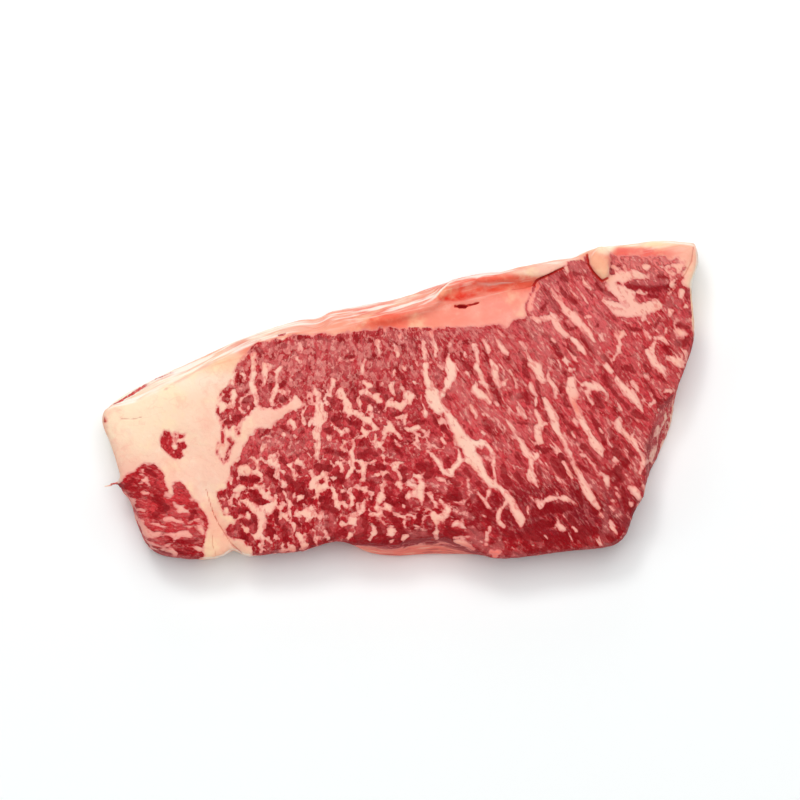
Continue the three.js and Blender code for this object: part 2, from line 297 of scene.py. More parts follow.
MUSCLES = (
    Muscle("loin eye", (
        (262, 341), (268, 344), (273, 341), (281, 341), (288, 341), (291, 338), (297, 336), (312, 336),
        (330, 336), (345, 335), (356, 333), (364, 333), (372, 331), (380, 329), (400, 330), (450, 329),
        (480, 328), (498, 325), (508, 329), (515, 321), (527, 318), (525, 308), (530, 295), (535, 286),
        (539, 280), (547, 277), (555, 273), (563, 269), (572, 263), (586, 262), (590, 270), (598, 279),
        (606, 283), (609, 275), (609, 262), (615, 258), (640, 258), (665, 258), (684, 262), (680, 285),
        (691, 292), (702, 300), (702, 345), (692, 368), (683, 383), (683, 402), (682, 416), (678, 432),
        (672, 448), (664, 462), (656, 476), (652, 500), (640, 524), (619, 560), (520, 570), (505, 564),
        (478, 556), (455, 549), (440, 545), (425, 545), (412, 547), (395, 549), (380, 548), (352, 546),
        (345, 550), (320, 556), (300, 562), (275, 564), (255, 560), (254, 552), (255, 545), (250, 543),
        (241, 538), (237, 539), (232, 537), (228, 534), (228, 529), (233, 526), (237, 524), (237, 519),
        (236, 516), (231, 516), (227, 514), (224, 508), (223, 502), (220, 497), (220, 493), (223, 490),
        (230, 489), (229, 483), (232, 476), (233, 468), (236, 461), (241, 459), (243, 453), (244, 447),
        (248, 442), (250, 437), (255, 435), (257, 431), (264, 429), (273, 429), (276, 424), (283, 420),
        (287, 415), (292, 411), (297, 411), (301, 409), (304, 405), (301, 398), (298, 394), (295, 399),
        (290, 403), (284, 406), (278, 408), (264, 409), (260, 407), (254, 410), (251, 414), (247, 419),
        (243, 422), (242, 430), (241, 435), (239, 437), (237, 432), (236, 426), (233, 424), (232, 430),
        (229, 426), (226, 430), (224, 425), (221, 420), (219, 412), (219, 406), (221, 399), (226, 391),
        (230, 388), (233, 382), (236, 373), (241, 364), (247, 356), (253, 349), (258, 344),
    )),
    Muscle("side muscle", (
        (112, 487), (119, 485), (126, 483), (127, 479), (131, 475), (136, 473), (140, 469), (143, 466),
        (147, 464.5), (152, 465), (157, 465), (161, 469), (164, 472), (166, 476), (165, 480), (167, 485),
        (169, 490), (170, 494), (172, 497), (174, 497), (176, 494), (176, 489), (174, 487), (175, 484),
        (178, 482), (182, 483), (187, 487), (190, 491), (194, 498), (199, 503), (203, 510), (207, 515),
        (209, 519), (209, 526), (207, 533), (206, 540), (205, 546), (205, 552), (203, 568), (140, 570),
        (110, 520),
    )),
    Muscle("small islet", (
        (162, 441), (164, 436), (166, 432), (170, 431.5), (173, 433.5), (180, 433.5), (184, 435.5),
        (187, 435.5), (185, 437.5), (180, 438.5), (178, 440), (182, 443), (186, 443), (188, 446.5),
        (185, 448.5), (184, 451), (186, 456), (183, 457.5), (178, 457), (173, 453.5), (168, 450), (164, 446),
    )),
)

SIDE_MUSCLE = MUSCLES[1]

FAT_STROKES = (
    Strokes("head, upper", (
        ((255, 356, 5), (255, 362, 5), (254, 368, 7), (254, 376, 6), (253, 384, 6), (256, 392, 7),
         (257, 400, 7), (258, 408, 7)),
        ((266, 365, 4), (266, 372, 6), (266, 380, 5), (265, 386, 4)),
        ((282, 368, 5), (279, 372, 5), (278, 380, 4), (277, 388, 5), (274, 394, 6), (272, 402, 4)),
        ((277, 390, 4), (283, 392, 5), (287, 396, 4)),
        ((290, 348, 3), (292, 354, 4), (296, 359, 4), (302, 361, 4)), ((293, 372, 3), (293, 380, 3)),
        ((298, 397, 4), (298, 402, 9)),
        ((235, 383, 4), (237, 389, 3), (238, 395, 4), (235, 401, 5), (232, 407, 5)),
        ((226, 397, 4), (224, 400, 3)), ((253, 392, 2), (247, 397, 3), (241, 401, 3)), ((244, 376, 2),),
    )),
    Strokes("head, fringe", (
        ((225, 406, 6), (224, 412, 4)), ((239, 410, 4), (241, 411, 4)), ((249, 407, 4), (246, 412, 2)),
        ((232, 417, 2), (233, 421, 2)),
    )),
    Strokes("head, middle", (
        ((303, 412, 3), (304, 417, 6), (306, 422, 5), (307, 425, 3)), ((285, 434, 4), (286, 438, 4)),
        ((296, 423, 5), (295, 428, 5), (293, 421, 4)), ((296, 435, 4), (298, 438, 4)),
        ((264, 442, 5), (265, 447, 6)), ((267, 436, 4), (264, 438, 3)), ((308, 448, 3),),
        ((242, 470, 8), (248, 471, 10), (255, 472, 6)),
        ((254, 457, 3), (258, 461, 5), (258, 467, 5), (258, 472, 4), (262, 475, 4)),
        ((263, 457, 4), (268, 462, 6), (274, 462, 9), (278, 467, 8), (279, 472, 6), (282, 478, 4),
         (285, 484, 3)),
        ((270, 458, 4), (276, 456, 4)), ((283, 471, 6), (287, 472, 3)),
        ((298, 461, 5), (304, 463, 4), (307, 467, 3)), ((291, 466, 5), (293, 469, 4)),
        ((293, 473, 3), (296, 475, 4), (299, 479, 3)), ((304, 471, 4), (307, 476, 3)),
        ((267, 482, 4), (270, 482, 3)), ((233, 478, 3), (232, 483, 4)),
    )),
    Strokes("head, lower", (
        ((236, 490, 3), (241, 488, 5), (247, 487, 4), (253, 487, 3), (258, 486, 5), (262, 488, 8),
         (265, 493, 6), (268, 497, 6), (272, 500, 6), (275, 503, 9), (272, 507, 11), (267, 511, 11),
         (264, 515, 9), (263, 521, 6), (263, 527, 4), (261, 532, 6), (257, 535, 7)),
        ((257, 535, 7), (263, 536, 7), (268, 538, 5), (272, 543, 4), (276, 549, 4)),
        ((243, 501, 4), (248, 503, 7), (253, 507, 6), (258, 511, 7), (263, 514, 9)),
        ((249, 516, 6), (249, 513, 3)), ((234, 503, 7), (238, 507, 3)), ((228, 510, 6), (231, 513, 4)),
        ((226, 499, 3), (223, 497, 2)), ((235, 494, 2), (240, 496, 3)),
        ((242, 522, 2), (246, 527, 2.5), (250, 532, 3)), ((252, 529, 3),),
        ((283, 512, 4), (286, 516, 6), (289, 520, 6), (293, 523, 4), (297, 529, 4), (301, 534, 6),
         (305, 540, 6), (306, 549, 5)),
        ((300, 512, 7), (304, 514, 10), (310, 514, 8), (308, 520, 6)),
        ((286, 492, 2), (288, 497, 2.5), (291, 502, 3), (291, 508, 3), (293, 514, 3)),
        ((284, 503, 2.5), (286, 507, 2)), ((269, 493, 3), (274, 491.5, 2), (278, 495, 1.5)),
        ((292, 487, 4), (294, 489, 3)), ((301, 498, 6), (299, 501, 3)), ((309, 504, 3), (305, 505.5, 2)),
        ((277, 537, 4), (280, 538, 3), (284, 544, 5), (286, 550, 7)), ((294, 546, 5), (294, 551, 6)),
        ((261, 546, 3), (264, 541, 2), (267, 546, 2)), ((262, 538, 2),),
    )),
    Strokes("behind the head, upper", (
        ((316, 387, 3), (318, 393, 6), (319, 400, 6), (320, 406, 11), (321, 412, 14), (321, 419, 13),
         (319, 425, 8)),
        ((319, 425, 8), (318, 432, 8), (318, 440, 8), (318, 447, 8), (318, 454, 6), (319, 458, 4)),
        ((343, 390, 7), (343, 395, 10), (346, 401, 7), (348, 407, 9), (352, 412, 11), (358, 414, 8),
         (364, 417, 7)),
        ((336, 394, 3), (341, 392, 6)), ((332, 395, 4), (331, 389, 4), (334, 382, 4)),
        ((366, 383, 6), (371, 386, 5)), ((366, 390, 6), (362, 393, 5), (360, 399, 3), (360, 405, 5)),
        ((367, 392, 6), (373, 395, 6), (377, 398, 6), (381, 402, 6)),
        ((379, 343, 4), (379, 347, 7), (381, 352, 5), (380, 356, 3)),
        ((395, 346, 4), (397, 350, 5), (398, 355, 4)),
        ((358, 370, 4), (361, 372, 5), (365, 366, 3), (365, 361, 2)),
        ((394, 373, 4), (395, 379, 3), (393, 386, 7), (394, 392, 5), (393, 398, 4)),
        ((401, 385, 4), (403, 388, 3)), ((408, 394, 7), (411, 398, 9)),
        ((391, 404, 6), (399, 407, 9), (408, 404, 8)), ((404, 341, 2.5), (407, 344, 2)),
        ((326, 403, 3), (330, 406, 3), (335, 410, 3)),
    )),
    Strokes("behind the head, middle", (
        ((364, 417, 7), (369, 421, 6), (374, 425, 6), (378, 429, 4)),
        ((331, 424, 3), (335, 427, 4), (339, 430, 4), (342, 433, 3), (344, 439, 5), (346, 442, 4)),
        ((326, 436, 3), (330, 438, 3), (333, 443, 2.5), (337, 446, 2.5), (342, 448, 2), (347, 451, 2)),
        ((334, 457, 3), (331, 461, 3)), ((340, 458, 1.5), (346, 461, 1.5)), ((365, 405, 3), (370, 409, 4)),
        ((367, 412, 3), (372, 416, 4), (378, 419, 3), (384, 421, 2.5)),
        ((363, 430, 4), (367, 433, 4), (366, 438, 3)), ((370, 432, 2.5), (376, 429, 2.5)),
        ((357, 437, 5), (362, 437, 4)),
        ((376, 436, 5), (375, 441, 5), (380, 446, 9), (383, 450, 5), (384, 455, 3), (385, 461, 5)),
        ((384, 440, 4), (386, 434, 5), (390, 428, 7), (389, 423, 6), (392, 429, 7), (397, 434, 6),
         (401, 439, 4)),
        ((395, 442, 2.5), (398, 447, 3)),
        ((353, 441, 2.5), (354, 447, 3), (354, 452, 6), (355, 457, 7), (353, 462, 8), (352, 466, 6),
         (349, 472, 5), (347, 476, 5)),
        ((357, 459, 5), (361, 462, 4), (364, 466, 4), (364, 473, 5), (363, 479, 5)),
        ((356, 467, 4), (360, 471, 3)), ((338, 463, 4), (341, 467, 4), (343, 470, 4)),
        ((327, 462, 4), (330, 463, 2)), ((375, 462, 5), (377, 465, 3)),
        ((393, 467, 6), (398, 465, 6), (404, 462, 4)), ((394, 468, 4), (397, 472, 3), (401, 477, 3)),
        ((322, 476, 6), (318, 479, 9), (314, 485, 11), (321, 488, 10), (327, 487, 6), (333, 489, 6),
         (336, 494, 5)),
        ((333, 474, 3), (335, 477, 5)), ((374, 473, 3), (379, 475, 4)), ((408, 474, 4),),
        ((407, 413, 3), (406, 420, 3), (408, 427, 4), (411, 430, 5)), ((402, 417, 2.5), (397, 418, 2.5)),
    )),
    Strokes("behind the head, lower", (
        ((336, 494, 5), (337, 498, 3), (338, 503, 4), (341, 508, 3)), ((313, 508, 5), (315, 514, 4)),
        ((341, 488, 2.5), (343, 490, 2)), ((346, 502, 3), (347, 507, 3)),
        ((352, 489, 3), (353, 494, 5), (353, 500, 5), (351, 507, 3)), ((357, 503, 3), (358, 506, 3)),
        ((364, 500, 3), (364, 505, 6), (364, 510, 5), (361, 514, 4)),
        ((354, 515, 9), (355, 521, 9), (349, 523, 5), (344, 522, 5), (341, 525, 3)),
        ((353, 526, 4), (352, 532, 2), (350, 537, 2)),
        ((373, 521, 4), (374, 527, 5), (373, 532, 6), (371, 536, 4)),
        ((371, 514, 2), (375, 514, 3), (379, 515, 3)), ((370, 493, 3), (373, 495, 5), (376, 491, 2)),
        ((385, 483, 5), (382, 487, 4), (383, 492, 4), (381, 498, 6), (379, 502, 5), (377, 508, 4)),
        ((387, 506, 4), (390, 508, 5)), ((396, 496, 2), (399, 500, 2.5)),
        ((399, 484, 5), (401, 488, 4), (400, 491, 3)), ((397, 512, 4), (401, 515, 5), (406, 517, 3)),
        ((385, 522, 3), (390, 523, 5), (393, 530, 8), (392, 535, 8)), ((405, 523, 3), (406, 527, 2)),
        ((409, 491, 2), (409, 497, 3)), ((404, 506, 3),), ((405, 538, 3), (408, 536, 2)), ((392, 541, 3),),
        ((356, 531, 3), (358, 533, 2)), ((317, 523, 3), (321, 526, 2)),
        ((323, 530, 2), (325, 533, 3), (328, 537, 3)),
    )),
    Strokes("main seam", (
        ((425, 365, 5), (426, 372, 6), (427, 380, 7), (430, 387, 8), (432, 394, 16), (434, 402, 16),
         (438, 408, 13), (444, 412, 10), (450, 418, 11), (454, 425, 12), (458, 431, 12), (462, 438, 13),
         (467, 445, 17), (474, 447, 15)),
        ((449, 360, 5), (451, 368, 10), (452, 375, 9), (449, 381, 9), (446, 387, 7), (443, 393, 5),
         (441, 400, 4)),
        ((450, 340, 1.5), (450, 350, 2.5), (449, 358, 3)),
        ((474, 447, 15), (481, 443, 9), (484, 442, 7), (490, 448, 5), (494, 454, 4), (493, 462, 3),
         (494, 471, 3), (492, 480, 7)),
        ((463, 452, 12), (472, 456, 20), (477, 463, 15), (481, 471, 10), (484, 477, 9), (491, 482, 8)),
        ((463, 456, 10), (458, 462, 7), (454, 468, 7), (450, 473, 7), (443, 472, 7), (440, 466, 5),
         (437, 460, 4), (433, 456, 4), (428, 452, 4)),
        ((491, 482, 8), (497, 485, 5), (501, 489, 5), (505, 495, 8), (509, 500, 9), (513, 507, 8),
         (518, 514, 9), (520, 519, 9), (520, 526, 3)),
        ((505, 502, 6), (500, 509, 5), (498, 514, 6), (498, 519, 6), (501, 523, 5), (504, 526, 3)),
        ((488, 490, 4), (487, 495, 3), (486, 499, 3)),
        ((476, 488, 2), (479, 493, 3), (482, 497, 3), (486, 501, 4), (489, 506, 5), (492, 508, 3)),
    )),
    Strokes("by the main seam, upper", (
        ((425, 351, 6), (424, 357, 6)), ((424, 343, 3), (424, 348, 3)),
        ((431, 332, 4), (432, 338, 4), (435, 344, 5), (436, 350, 4), (436, 357, 3)),
        ((439, 366, 4), (443, 368, 4)), ((465, 353, 3), (465, 356, 4), (468, 359, 3)),
        ((474, 346, 5), (477, 352, 6), (477, 360, 5), (477, 368, 7), (481, 372, 5), (484, 377, 3)),
        ((466, 373, 5), (469, 378, 4)), ((484, 340, 4), (487, 346, 5), (489, 352, 4)),
        ((491, 362, 4), (494, 368, 8), (494, 374, 5), (495, 379, 5), (499, 386, 6)),
        ((500, 346, 6), (504, 350, 6), (508, 353, 5), (498, 341, 4)),
        ((475, 383, 5), (475, 390, 8), (480, 395, 9), (486, 399, 6), (489, 402, 4)),
        ((479, 382, 4), (484, 384, 3)), ((418, 384, 4), (414, 382, 3)),
        ((413, 357, 2.5), (418, 365, 2), (421, 371, 2)), ((500, 365, 3), (502, 368, 3)),
        ((503, 384, 4), (507, 380, 3)), ((510, 371, 4), (513, 375, 4)), ((496, 402, 3), (498, 405, 3)),
    )),
    Strokes("by the main seam, middle", (
        ((411, 428, 5), (419, 428, 5), (424, 431, 3)), ((424, 413, 5), (426, 417, 3)),
        ((442, 439, 2.5), (446, 444, 3), (444, 448, 2)),
        ((470, 405, 3), (473, 411, 5), (476, 416, 5), (478, 419, 3)), ((484, 414, 4), (488, 417, 3)),
        ((485, 434, 4), (482, 432, 3)), ((494, 427, 2), (497, 434, 1.5)), ((497, 419, 2), (500, 428, 1.5)),
        ((503, 423, 2), (505, 432, 1.5)),
        ((414, 474, 4), (419, 477, 3.5), (422, 482, 5), (421, 488, 6), (421, 495, 5), (423, 503, 3)),
    )),
    Strokes("by the main seam, lower", (
        ((430, 493, 4), (433, 497, 3), (435, 503, 3), (437, 507, 2)),
        ((440, 500, 2.5), (444, 504, 3), (448, 509, 4)), ((441, 508, 2),),
        ((447, 511, 8), (450, 514, 5), (444, 515, 5), (439, 517, 5)),
        ((434, 512, 4), (435, 517, 8), (436, 523, 8), (437, 530, 6), (438, 536, 5), (438, 540, 3)),
        ((446, 524, 3), (443, 521, 2)), ((453, 525, 4), (457, 523, 4)), ((415, 523, 5), (417, 526, 4)),
        ((417, 509, 3), (425, 511, 4), (428, 508, 3)), ((450, 482, 2), (455, 484, 3)),
        ((468, 480, 3), (468, 485, 3)), ((463, 508, 3), (465, 513, 3)), ((457, 511, 3), (455, 514, 2)),
        ((469, 503, 2), (472, 505, 1.5)), ((481, 514, 2.5), (485, 516, 2)), ((486, 533, 4), (486, 538, 5)),
        ((489, 527, 3), (490, 531, 2)), ((457, 541, 5), (464, 543, 6), (471, 546, 6), (475, 549, 4)),
        ((455, 538, 3), (459, 537, 2)), ((492, 551, 6), (500, 550, 4), (495, 556, 5)),
        ((505, 541, 3), (508, 546, 3)), ((486, 544, 4),),
    )),
    Strokes("long seams", (
        ((521, 342, 3), (525, 349, 5), (528, 356, 5), (531, 364, 9), (537, 369, 13), (540, 375, 10),
         (543, 381, 7)),
        ((548, 371, 4), (549, 378, 5), (552, 385, 6), (554, 392, 6), (556, 398, 4)),
        ((530, 384, 4), (532, 391, 5), (537, 398, 3), (535, 405, 4)),
        ((544, 398, 4), (546, 403, 6), (549, 409, 9), (553, 414, 10), (555, 421, 10), (556, 428, 8),
         (559, 434, 6), (563, 441, 5), (566, 448, 5), (570, 454, 4), (573, 462, 4), (576, 470, 5),
         (580, 477, 7), (583, 484, 8), (586, 491, 9), (590, 497, 9), (595, 503, 7), (598, 507, 4)),
        ((516, 401, 3), (519, 408, 6), (523, 415, 6), (526, 419, 4)),
        ((535, 411, 5), (539, 418, 5), (540, 423, 7), (537, 430, 9), (538, 436, 8), (540, 442, 5)),
        ((540, 424, 6), (546, 425, 4)),
        ((504, 420, 3), (509, 425, 5), (513, 430, 5), (516, 436, 4), (521, 441, 6), (523, 447, 8),
         (526, 453, 9), (533, 457, 9), (538, 454, 5)),
        ((531, 458, 8), (530, 466, 6), (529, 474, 9), (533, 480, 7), (538, 485, 4)),
        ((513, 465, 3), (518, 467, 4), (522, 468, 3)),
        ((571, 381, 9), (571, 389, 13), (574, 396, 9), (573, 403, 7), (576, 410, 9), (579, 416, 10),
         (583, 423, 9), (586, 430, 8), (590, 437, 9), (595, 444, 11), (600, 451, 11), (603, 458, 5)),
        ((580, 385, 3), (586, 384, 7), (593, 386, 9), (601, 388, 8), (606, 393, 5), (607, 399, 3)),
        ((586, 391, 5), (588, 397, 5), (592, 404, 4), (590, 410, 2)), ((572, 432, 3), (574, 437, 2.5)),
        ((563, 462, 2.5), (566, 467, 3), (569, 472, 2.5), (572, 477, 2)), ((583, 457, 4), (580, 455, 3)),
        ((552, 475, 3), (557, 480, 5), (562, 484, 3), (565, 489, 2.5), (568, 494, 3)),
        ((550, 444, 1.5), (555, 450, 1.5)), ((545, 463, 1.5), (549, 468, 1.5)),
        ((599, 410, 2.5), (603, 415, 2)), ((598, 430, 3), (602, 433, 2)),
        ((601, 473, 5), (606, 477, 7), (606, 484, 6), (608, 488, 3)),
        ((513, 374, 3), (516, 383, 3), (516, 388, 4)), ((557, 361, 3), (559, 367, 4), (560, 371, 3)),
        ((563, 350, 1.5), (566, 353, 2)), ((569, 371, 5), (573, 371, 5)),
        ((572, 338, 4), (576, 343, 7), (580, 349, 8), (584, 354, 3)), ((553, 340, 2), (556, 343, 1.5)),
    )),
    Strokes("foot and low band", (
        ((529, 496, 2), (533, 498, 3), (537, 501, 4), (540, 505, 6), (545, 500, 6), (551, 498, 5),
         (558, 497, 4), (564, 498, 6), (570, 499, 4), (576, 504, 2.5)),
        ((541, 493, 2), (541, 498, 3)), ((528, 507, 2), (527, 512, 4), (528, 516, 2)),
        ((555, 489, 2), (557, 493, 3)), ((558, 524, 5), (561, 527, 7), (564, 528, 5)),
        ((556, 518, 1.5), (558, 522, 2)), ((573, 527, 2), (576, 531, 3)),
        ((570, 532, 3), (571, 538, 3), (572, 543, 3), (575, 547, 2)), ((545, 534, 3), (548, 537, 2)),
        ((543, 540, 3), (543, 544, 2)), ((531, 544, 2), (534, 545, 3)), ((519, 543, 3), (517, 540, 2)),
        ((512, 547, 3), (515, 551, 2)), ((600, 514, 3), (603, 517, 2)), ((597, 524, 2), (601, 526, 2)),
        ((594, 537, 2), (597, 540, 4), (601, 545, 3)), ((588, 517, 2),),
    )),
    Strokes("blunt end", (
        ((626, 336, 4), (622, 333, 6), (619, 341, 3), (618, 347, 6), (617, 355, 5), (614, 360, 3)),
        ((605, 366, 7), (610, 372, 5)),
        ((616, 379, 5), (621, 386, 8), (627, 393, 9), (633, 399, 8), (638, 405, 7), (642, 411, 5)),
        ((631, 383, 4), (634, 387, 5), (637, 391, 3)),
        ((647, 352, 7), (651, 358, 9), (655, 364, 9), (659, 368, 8), (663, 372, 5), (666, 377, 3)),
        ((654, 339, 4), (660, 339, 6), (665, 343, 5), (667, 346, 3)), ((653, 344, 4), (651, 351, 7)),
        ((666, 359, 5), (672, 360, 6), (677, 363, 7), (682, 367, 5), (684, 369, 3)),
        ((681, 355, 4), (680, 360, 4)), ((686, 352, 4), (688, 356, 2)),
        ((664, 393, 4), (667, 391, 5), (671, 392, 2)), ((652, 403, 6), (650, 407, 4)),
        ((613, 400, 3), (616, 404, 5), (619, 409, 6)), ((646, 335, 2), (649, 338, 3)),
        ((637, 364, 3), (640, 369, 4), (645, 375, 5), (648, 379, 4)), ((658, 411, 3), (657, 416, 2)),
        ((617, 419, 7), (618, 426, 9), (622, 431, 8), (627, 436, 8), (632, 441, 8), (636, 447, 6),
         (639, 452, 5), (642, 457, 5), (643, 462, 6), (641, 468, 4), (639, 473, 3)),
        ((614, 459, 5), (618, 461, 4)), ((617, 443, 3), (612, 441, 2)), ((622, 445, 1.5), (627, 451, 1.5)),
        ((625, 474, 3), (628, 476, 3)), ((634, 431, 2), (632, 435, 3)),
        ((645, 461, 5), (650, 462, 6), (655, 463, 4)), ((660, 428, 8), (659, 435, 8), (656, 439, 4)),
        ((630, 487, 6), (633, 490, 9), (637, 494, 8), (639, 498, 5)),
        ((643, 486, 3), (645, 491, 4), (643, 497, 3)), ((616, 493, 4), (619, 497, 4)),
        ((613, 500, 3), (615, 501, 2)), ((609, 506, 2), (613, 510, 2)), ((631, 503, 4), (632, 506, 3)),
        ((626, 513, 1.5), (629, 517, 2.5), (631, 519, 3)),
        ((610, 521, 4), (612, 527, 7), (615, 531, 5), (617, 535, 3)), ((624, 534, 3), (622, 538, 4)),
    )),
    Strokes("wall of the blunt end", (
        ((681, 397, 3), (682, 408, 7), (680, 420, 8), (676, 433, 7), (672, 444, 5), (667, 454, 4)),
        ((670, 408, 2), (669, 418, 5), (665, 430, 5.5), (661, 442, 4), (657, 452, 7), (653, 462, 6)),
        ((675, 412, 1), (673, 424, 2), (669, 436, 1.5)),
    )),
    Strokes("shoulder", (
        ((537, 284, 3), (539, 287, 4), (536, 292, 4), (533, 297, 4), (530, 303, 7), (530, 309, 6)),
        ((547, 278, 3), (546, 281, 2)),
        ((552, 290, 3), (555, 296, 5), (558, 301, 5), (562, 306, 6), (566, 311, 9), (572, 316, 11),
         (577, 322, 10), (583, 328, 8), (588, 334, 7), (593, 341, 6)),
        ((531, 318, 5), (538, 321, 7), (546, 319, 8), (552, 317, 8), (556, 323, 11), (560, 330, 8),
         (566, 336, 5)),
        ((566, 270, 4), (568, 273, 3)), ((583, 278, 2), (586, 284, 6), (591, 289, 5)),
        ((577, 289, 3), (582, 295, 3), (586, 300, 4), (588, 303, 3)), ((593, 293, 2), (598, 299, 3)),
        ((585, 318, 4), (590, 318, 4)), ((506, 327, 8), (502, 323, 5), (510, 323, 3)),
        ((573, 285, 1.5), (575, 289, 1.5)), ((600, 335, 5), (603, 340, 4)),
    )),
    Strokes("corner", (
        ((600, 262, 18), (600, 270, 14), (602, 276, 8)),
        ((647, 278, 4), (641, 276, 8), (631, 276, 10), (621, 278, 13), (613, 282, 16), (614, 288, 15),
         (619, 293, 15), (625, 298, 14), (631, 303, 14), (638, 308, 13)),
        ((628, 293, 6), (640, 293, 5), (645, 294, 4)),
        ((603, 301, 4), (609, 304, 7), (617, 309, 13), (627, 312, 14), (637, 310, 15), (646, 309, 15),
         (656, 306, 12)),
        ((648, 302, 5), (656, 302, 5)), ((624, 267, 4), (625, 270, 3)), ((644, 267, 8), (648, 267, 8)),
        ((630, 262, 6), (638, 261, 5)), ((650, 260, 5), (658, 261, 4)), ((657, 267, 4), (660, 268, 3)),
        ((668, 269, 9), (674, 270, 13), (681, 268, 11)), ((668, 258, 8), (684, 258, 12), (690, 252, 8)),
        ((676, 281, 6), (670, 287, 5)), ((694, 262, 6), (694, 273, 5), (688, 278, 5)),
        ((618, 256, 5), (621, 262, 4)), ((655, 255, 5), (651, 260, 5)), ((638, 255, 5), (643, 260, 3)),
        ((612, 266, 3), (617, 270, 4)), ((688, 262, 8), (686, 272, 6), (680, 280, 4)),
        ((613, 254, 6), (630, 252, 7), (650, 252, 6), (668, 251, 8)), ((681, 292, 8), (679, 297, 5)),
        ((684, 285, 5),), ((684, 307, 5),), ((670, 312, 7), (669, 316, 4)), ((653, 323, 3), (651, 319, 2.5)),
        ((665, 328, 4), (665, 333, 4)), ((618, 316, 3), (622, 315, 2)), ((643, 321, 4), (642, 317, 4)),
        ((692, 304, 3), (693, 315, 4), (693, 326, 4), (694, 336, 3)),
        ((675, 287, 1.2), (670, 292, 1.2), (665, 297, 1.2)),
    )),
    Strokes("side muscle", (
        ((143, 482, 5), (148, 480, 6), (152, 484, 4)), ((147, 493, 6), (150, 492, 5)),
        ((126, 493, 5), (130, 497, 5)),
        ((132, 500, 4), (137, 503, 6), (134, 508, 5), (141, 509, 3), (146, 511, 3)),
        ((133, 515, 4), (139, 518, 7), (144, 524, 9), (148, 531, 9), (155, 535, 7), (162, 534, 4)),
        ((176, 503, 4), (183, 507, 7), (182, 511, 6), (190, 512, 3)), ((183, 507, 6), (190, 502, 2)),
        ((168, 520, 4), (174, 520, 4), (182, 522, 3), (190, 523, 2), (200, 520, 2)),
        ((155, 524, 2), (165, 526, 2), (175, 528, 2), (185, 527, 2), (195, 525, 3), (202, 529, 5),
         (205, 533, 3)),
        ((158, 533, 3), (168, 534, 4), (178, 535, 7), (188, 534, 8), (194, 537, 5)),
        ((148, 540, 3), (156, 545, 4), (165, 546, 3), (176, 541, 2)),
        ((155, 549, 4), (165, 549, 5), (173, 550, 7), (176, 554, 6)),
        ((188, 547, 2), (196, 548, 3), (202, 549, 5)), ((136, 512, 1.5), (146, 520, 1.5), (156, 529, 1.5)),
        ((176, 446, 4),),
    )),
)

LEAN_STROKES = (
    Strokes("fringe of the eye", (
        ((225, 429, 2.5), (226, 436, 3), (225, 444, 2)),
        ((221, 443, 1.5), (219, 452, 1.5), (222, 458, 2), (226, 462, 1.5)),
        ((232, 439, 3), (234, 443, 4), (232, 449, 3), (230, 454, 3), (228, 460, 3)),
        ((222, 492, 3), (224, 495, 4), (228, 496, 3)),
        ((222, 501, 1.5), (224, 508, 1.5), (227, 515, 2), (233, 515, 2)),
        ((224, 502, 2), (228, 506, 3), (231, 507, 1.5)),
    )),
    Strokes("granules in the corner", (
        ((611, 256, 3), (615, 260, 3)), ((621, 259, 1.5), (627, 260, 2)), ((632, 262, 1.5), (640, 261.5, 2)),
        ((646, 262, 1.5), (653, 261.5, 2), (661, 262, 2), (668, 263, 1.5)), ((672, 262, 2), (677, 260.5, 2)),
        ((667, 270, 1.5), (674, 271, 2)), ((679, 274, 2), (684, 269, 1.5)), ((674, 284, 2), (681, 279, 2.5)),
        ((618, 284, 1.5), (622, 287, 1.5)),
    )),
    Strokes("slivers in the broad seams", (
        ((460, 449, 2), (463, 455, 3)), ((263, 464, 6), (262, 467, 5)),
        ((478, 449, 3), (481, 454, 4), (485, 459, 4), (487, 464, 5), (490, 470, 4), (492, 477, 2)),
        ((443, 414, 2.5), (444, 419, 2.5)), ((465, 468, 6), (467, 473, 7)),
        ((586, 256, 1.5), (587, 266, 2.5), (592, 275, 3)), ((637, 299, 3), (642, 300, 7), (647, 298, 5)),
        ((543, 430, 3), (549, 434, 4), (554, 439, 4), (558, 444, 2)),
        ((541, 407, 4), (544, 414, 5), (547, 421, 4)),
    )),
)

CAP_TRACES = Strokes("traces of lean on the cap", (
    ((107, 410, 3), (115, 403, 6), (124, 397, 6), (134, 391, 5), (145, 385, 2)),
    ((150, 380, 2), (160, 375, 4), (172, 370, 4), (184, 363, 2)),
))

CAP_SPOTS = Strokes("spots of lean on the cap", (
    ((279, 336, 2), (285, 334, 2.5)), ((162, 386, 3.5), (167, 387, 3.5)), ((105, 418, 1.5), (106, 421, 2)),
))

